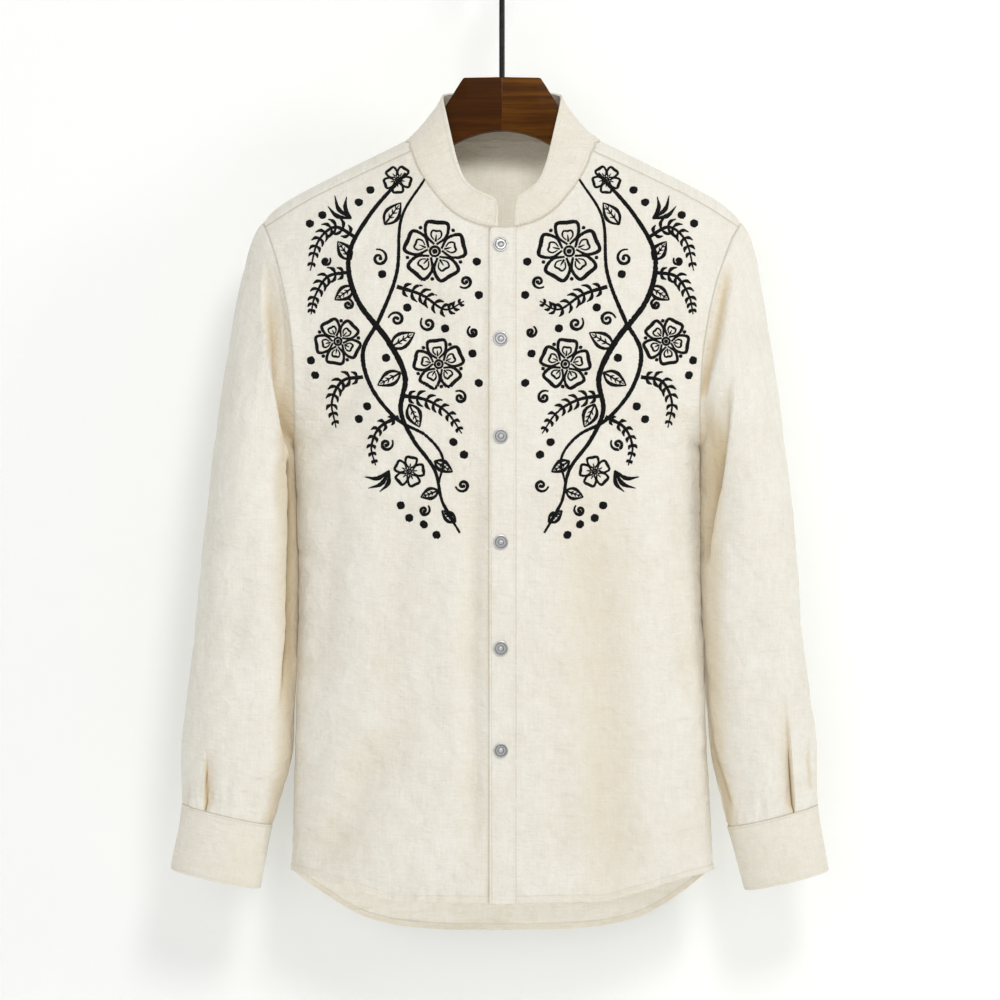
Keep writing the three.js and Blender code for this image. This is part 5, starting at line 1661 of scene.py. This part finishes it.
def flower(middle, size, turn):
    """Petals round a ringed middle."""
    half = math.pi / PETALS * 0.92
    weight = 0.5 + size / 60
    for k in range(PETALS):
        way = turn + k * 2 * math.pi / PETALS
        draw(petal(middle, way, size * 0.22, size, half), 1.6 * weight, 3.0 * weight, 1.6 * weight)
        draw([polar(middle, way, size * reach) for reach in (0.3, 0.52)], 1.6 * weight, 1.3 * weight, 0.6)
        if size > LARGE:
            draw(petal(middle, way, size * 0.36, size * 0.7, half * 0.55), 0.9, 1.7, 0.9)
            dot(polar(middle, way + math.pi / PETALS, size * 0.86), 2.6)
    draw([polar(middle, a, size * 0.15) for a in np.linspace(0, 2 * math.pi, 17)], 1.8 * weight)
    dot(middle, size * 0.12)


def leaf(base, turn, long, wide):
    """Two bowed sides, a vein down the middle, and short side veins."""
    tip = polar(base, turn, long)
    for hand in (-1, 1):
        side = [base] + [polar(polar(base, turn, long * t), turn + hand * math.pi / 2, wide * w)
                         for t, w in ((0.25, 0.42), (0.5, 0.5), (0.78, 0.28))] + [tip]
        draw(curve(side, 8), 1.2, 2.7, 0.9)
        for t in (0.3, 0.5, 0.7):
            root = polar(base, turn, long * t)
            draw([root, polar(root, turn + hand * 0.75, wide * 0.34)], 1.0, 1.0, 0.6)
    draw([base, polar(base, turn, long * 0.5), polar(base, turn, long * 0.88)], 1.6, 1.3, 0.6)


print(PETALS, "petals to a flower")

# %% Fronds, tendrils and palm fans
def frond(points, leaflets, long):
    """A fern: a bent stem with pairs of leaflets that shorten towards its tip."""
    stem = curve(points, 12)
    draw(stem, 2.8, 2.0, 0.9)
    run = np.linspace(0.1, 0.96, leaflets) * (len(stem) - 2)
    for k, at in enumerate(run.astype(int)):
        heading = math.atan2(*(stem[at + 1] - stem[at])[::-1])
        reach = long * (1 - (k / leaflets) ** 1.6 * 0.72) * (0.75 if k == 0 else 1)
        for hand in (-1, 1):
            way = heading + hand * 0.95
            bow = polar(polar(stem[at], way, reach * 0.55), way - hand * math.pi / 2, reach * -0.1)
            draw(curve([stem[at], bow, polar(stem[at], way - hand * 0.16, reach)], 6), 1.2, 2.7, 0.8)


LOOPS = 1.35  # turns in a tendril


def tendril(base, turn, size, hand):
    """A curl that winds in to a berry."""
    middle = polar(base, turn, size)
    start = math.atan2(*(np.array(base) - middle)[::-1])
    points = [polar(middle, start + hand * t * LOOPS * 2 * math.pi, size * (1 - 0.84 * t ** 0.8))
              for t in np.linspace(0, 1, 44)]
    draw(points, 1.2, 2.5, 1.8)
    dot(points[-1], 2.6)


def palm(base, turns, reaches, bow):
    """A fan of long, bent blades, thick in the middle and pointed."""
    for turn, reach in zip(turns, reaches):
        middle = polar(polar(base, turn, reach * 0.52), turn + math.pi / 2, reach * bow)
        draw(curve([base, middle, polar(base, turn, reach)], 14), 1.2, 3.4, 0.6)


print("a tendril turns", LOOPS, "times")

# %% The pattern of one front
STEMS = [  # through these points, then widths
    ([(92, -256), (126, -296), (146, -336), (138, -378), (108, -418), (92, -452), (96, -484), (84, -512),
      (64, -540), (56, -572), (40, -600)], (2.6, 4.2, 1.6)),
    ([(74, -262), (96, -300), (100, -352), (116, -396), (132, -428), (124, -462), (100, -492), (72, -508),
      (56, -530), (60, -560), (46, -588)], (1.8, 3.2, 1.2))]
FLOWERS = [  # middle, radius, turn
    ((64, -332), 31, 0.4), ((156, -418), 23, 1.1), ((60, -440), 25, 0.2), ((100, -262), 14, 0.9),
    ((88, -542), 15, 0.5)]
FRONDS = [  # stem, pairs of leaflets, their length
    ([(140, -318), (160, -308), (176, -322), (183, -350)], 9, 12),
    ([(146, -352), (166, -356), (178, -374), (182, -392)], 8, 11),
    ([(132, -452), (152, -456), (162, -476), (158, -500)], 8, 11),
    ([(100, -366), (76, -374), (54, -388), (36, -380)], 9, 12),
    ([(94, -470), (72, -474), (52, -486), (38, -506)], 8, 11),
    ([(98, -490), (116, -500), (124, -518), (120, -536)], 7, 8)]
LEAVES = [  # foot, turn, length, width
    ((112, -306), 2.2, 26, 13), ((141, -366), -0.6, 22, 11), ((106, -424), 2.6, 27, 13),
    ((88, -478), -2.0, 24, 12), ((144, -340), 0.95, 22, 11), ((96, -448), -0.5, 25, 12),
    ((60, -560), -0.35, 18, 9), ((64, -532), -2.6, 20, 9), ((44, -590), 0.7, 17, 8)]
TENDRILS = [  # foot, turn, radius, hand
    ((120, -330), -1.9, 9, 1), ((164, -338), -0.6, 5, 1), ((40, -366), 2.4, 7, -1), ((108, -396), 3.3, 8, 1),
    ((76, -396), -2.4, 8, -1), ((44, -466), -2.2, 7, 1), ((104, -512), -0.6, 7, 1), ((44, -556), 3.0, 7, -1),
    ((70, -574), -0.9, 6, 1), ((30, -404), -2.0, 6, -1), ((150, -378), -2.2, 6, 1)]
BERRIES = [
    (126, -272), (137, -284), (172, -296), (184, -304), (114, -354), (24, -342), (22, -374), (182, -436),
    (178, -450), (128, -480), (136, -492), (46, -514), (36, -526), (96, -574), (88, -586), (62, -602),
    (28, -430), (54, -406), (74, -592), (90, -386), (110, -434), (22, -458)]
BERRY = 5.6
PALMS = [  # foot, turns, lengths, bow
    ((144, -300), (1.35, 0.95, 0.5), (22, 28, 26), -0.16),
    ((107, -541), (-0.25, -0.7, -1.15), (24, 26, 22), -0.18)]

for points, widths in STEMS:
    draw(curve(points, 14), *widths)
berries = [(middle, BERRY) for middle in BERRIES]
for motif, places in ((flower, FLOWERS), (frond, FRONDS), (leaf, LEAVES), (tendril, TENDRILS), (dot, berries),
                      (palm, PALMS)):
    for place in places:
        motif(*place)
print(len(pattern), "lines in the pattern")

# %% [markdown]
# ## Satin stitch
# Each line becomes a ribbon of thread that lies on the cloth: domed, sunk a little at its edges, and not
# quite even in width, because every stitch is pulled by hand or by a machine. A ray from the front finds
# the cloth at each step of the line, and each point of the ribbon's section is then laid on the cloth. The
# ribbon's own map runs along and across it, which is what the thread's bump follows.

# %% Ribbons on the cloth
RIBBON_STEP, RIBBON_HEIGHT = 1.25, 0.55
SHORT, SHORT_STEP = 9, 0.75  # a berry is short, and needs closer steps to be round
REACH = 3 * MM  # how far off the cloth a point may be to be laid on it
CLEAR = 0.12  # the whole ribbon is lifted off the cloth by this
UNEVEN = 0.09  # of its width
DOME = np.array([(-0.5, -0.35), (-0.36, 0.6), (0.0, 1.0), (0.36, 0.6), (0.5, -0.35), (0.0, -0.6)])


def laid(tree, point, out):
    """The point moved along the normal on to the cloth, or left in place where no cloth is near."""
    spot, _, _, _ = tree.ray_cast(point + out * REACH, -out, 2 * REACH)
    return point if spot is None else spot


def ribbon(points, widths, side, tree, random):
    """Rows of six points round the ribbon, one row for each step along the line."""
    run = run_of(points)
    count = max(3, int(run[-1] / (RIBBON_STEP if run[-1] > SHORT else SHORT_STEP)))
    at = np.linspace(0, run[-1], count)
    x, z = (np.interp(at, run, points[:, k]) for k in range(2))
    heading = unit(np.stack([np.gradient(x), np.gradient(z)], 1))
    width = np.interp(at / run[-1], np.linspace(0, 1, len(widths)), widths)
    width *= 1 + random.uniform(-UNEVEN, UNEVEN, count)
    rows = []
    for px, pz, (hx, hz), w in zip(x, z, heading, width):
        spot, out, _, _ = tree.ray_cast(Vector((side * px * MM, -1, pz * MM)), Vector((0, 1, 0)))
        if spot is None:  # the line runs off the cloth, as under the collar
            continue
        out = -out if out.y > 0 else out
        across = Vector((-hz * side, 0, hx))
        across = (across - out * across.dot(out)).normalized() * w * MM
        rows.append([laid(tree, spot + across * a, out) + out * (h * RIBBON_HEIGHT + CLEAR) * MM
                     for a, h in DOME])
    return rows, at[:len(rows)]


def embroider(name, side, cloth_piece):
    """Every line of the pattern as a ribbon on one front."""
    tree = cloth_tree(cloth_piece)
    random = np.random.default_rng(17)
    vertices, faces, maps = [], [], []
    ring = len(DOME)
    for points, widths in pattern:
        rows, at = ribbon(points, widths, side, tree, random)
        if len(rows) < 3:
            continue
        sides, ends = tube_faces(len(rows), ring, len(vertices))
        faces += sides + ends
        vertices += [v for row in rows for v in row]
        maps += [((at[r], k), (at[r + 1], k), (at[r + 1], k + 1), (at[r], k + 1))
                 for r in range(len(rows) - 1) for k in range(ring)]
        maps += [tuple((at[r], k) for k in range(ring)) for r in (0, len(rows) - 1)]
    mesh = bpy.data.meshes.new(name)
    mesh.from_pydata(vertices, [], faces)
    layer = mesh.uv_layers.new(name="stitch")
    flat = [(a * MM, k / ring) for corners in maps for a, k in corners]
    layer.data.foreach_set("uv", np.array(flat, np.float32).reshape(-1))
    return thread_piece(name, mesh, thread)


embroidery = [embroider("embroidery_right", RIGHT, front_right),
              embroider("embroidery_left", LEFT, front_left)]

# %% [markdown]
# ## Put it together
# Each piece now rides on the shirt's one body, and the plain solids that it stands for are hidden. The
# sheets also say the size their cloth was cut to.

# %% Bodies, and the solids each piece hides
SHEETS = [  # the piece, what it stands for, its cut's width, length and area in metres, what it rests on
    (front_right, "front_right", 0.260, 0.735, 0.154, [arm_right]),
    (front_left, "front_left", 0.240, 0.735, 0.136, [arm_left]),
    (band, "placket", 0.026, 0.645, None, [front_left]),
    (back, "back", 0.480, 0.680, 0.285, [yoke]),
    (yoke, "yoke", 0.480, 0.170, 0.053, [arm_right, arm_left]),
    (collar, "collar", 0.450, 0.044, None, [yoke]),
    (sleeve_right, "sleeve_right", 0.300, 0.570, 0.148, [yoke]),
    (sleeve_left, "sleeve_left", 0.300, 0.570, 0.148, [yoke]),
    (cuff_right, "cuff_right", 0.240, 0.066, None, [sleeve_right]),
    (cuff_left, "cuff_left", 0.240, 0.066, None, [sleeve_left]),
    (slit_right, "sleeve_placket_right", 0.014, 0.076, None, [sleeve_right]),
    (slit_left, "sleeve_placket_left", 0.014, 0.076, None, [sleeve_left])]


def wear(piece, node=None):
    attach(piece, "root")
    if node:
        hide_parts(node)


for piece, node, *_ in SHEETS:
    wear(piece, node)
for piece in sewing.values():
    wear(piece)
for piece in embroidery:
    wear(piece)
for node, button in buttons.items():
    wear(button, node)
wear(arm_right, "hanger_right")
wear(arm_left, "hanger_left")
wear(rod, "hook")
print(len(SHEETS), "cloth pieces,", len(sewing), "rows of stitches,", len(embroidery), "embroideries")

# %% The cut of each sheet
for piece, _, width, length, area, rests_on in SHEETS:
    real = sum(p.area for p in piece.data.polygons) / 2
    print(f"{piece.name}: {real:.4f} square metres, of a cut of {area or width * length:.4f}")

# %% [markdown]
# ## Room and light
# The shirt hangs a little in front of a pale wall, over a pale floor. The light is soft and comes from the
# front and the right. The wall is there from one side only, so that the back of the shirt can be looked at
# too, in a light of its own.

# %% Light
KEY_TARGET = Vector((0, 0, -0.55))  # the middle of the shirt
WARM, WHITE = (1.0, 0.99, 0.97), (1.0, 1.0, 1.0)
AMBIENT = 0.47


def soft_light(name, place, size, power, colour=WHITE):
    """A round soft box that faces the shirt."""
    data = bpy.data.lights.new(name, "AREA")
    data.shape, data.size, data.energy, data.color = "DISK", size, power, colour
    light = placed(name, data)
    light.location = place
    light.rotation_euler = (KEY_TARGET - Vector(place)).to_track_quat("-Z", "Y").to_euler()


soft_light("key", (0.55, -2.3, 0.9), 0.7, 21, WARM)
soft_light("side", (2.3, -1.3, 0.1), 0.8, 11, WARM)
soft_light("fill", (-0.9, -3.0, -0.3), 1.6, 12)
soft_light("behind", (0.6, 2.6, 0.6), 2.0, 30)
world = bpy.data.worlds.new("pale room")
bpy.context.scene.world = world
world.use_nodes = True
sky = world.node_tree.nodes["Background"]
sky.inputs["Color"].default_value, sky.inputs["Strength"].default_value = (*WHITE, 1), AMBIENT

# %% Wall and floor
WALL_Y, FLOOR_Z, ROOM = 0.118, -1.6, 3.0
WALL_GLOW = 0.155  # light from the rest of the room


def pale(name, colour, one_sided):
    """A matt pale finish; a one-sided one can't be seen from behind."""
    finish = Finish(name, Roughness=0.95, Specular_IOR_Level=0.1, Emission_Strength=WALL_GLOW)
    finish.shader.inputs["Emission Color"].default_value = (*colour, 1)
    soft = finish.noise(3.0, 2.0)
    finish.put(finish.shader.inputs["Base Color"],
               finish.blend(soft * 0.3, colour, tuple(c * 0.985 for c in colour)))
    if one_sided:
        behind = finish.node("NewGeometry", output="Backfacing")
        clear = finish.node("BsdfTransparent")
        matt = Value(finish, finish.shader.outputs[0])
        shown = finish.node("MixShader", {}, {0: behind, 1: matt, 2: clear})
        finish.put(finish.tree.nodes["Material Output"].inputs["Surface"], shown)
    return finish.material


def backdrop(name, place, turn, material):
    sheet = start_with(bpy.ops.mesh.primitive_plane_add, size=2 * ROOM, location=place, rotation=turn)
    sheet.name = name
    sheet.data.materials.append(material)
    sheet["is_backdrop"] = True


wall_finish = pale("pale wall", (0.90, 0.91, 0.90), True)
floor_finish = pale("pale floor", (0.86, 0.86, 0.85), False)
backdrop("wall", (0, WALL_Y, FLOOR_Z + ROOM), (math.pi / 2, 0, 0), wall_finish)
backdrop("floor", (0, WALL_Y - ROOM, FLOOR_Z), (0, 0, 0), floor_finish)
print("the room is", 2 * ROOM, "metres wide")

# %% Sizes, and done
dict(cad=[list(corner) for corner in cad_box],
               visual=[list(corner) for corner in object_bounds()])
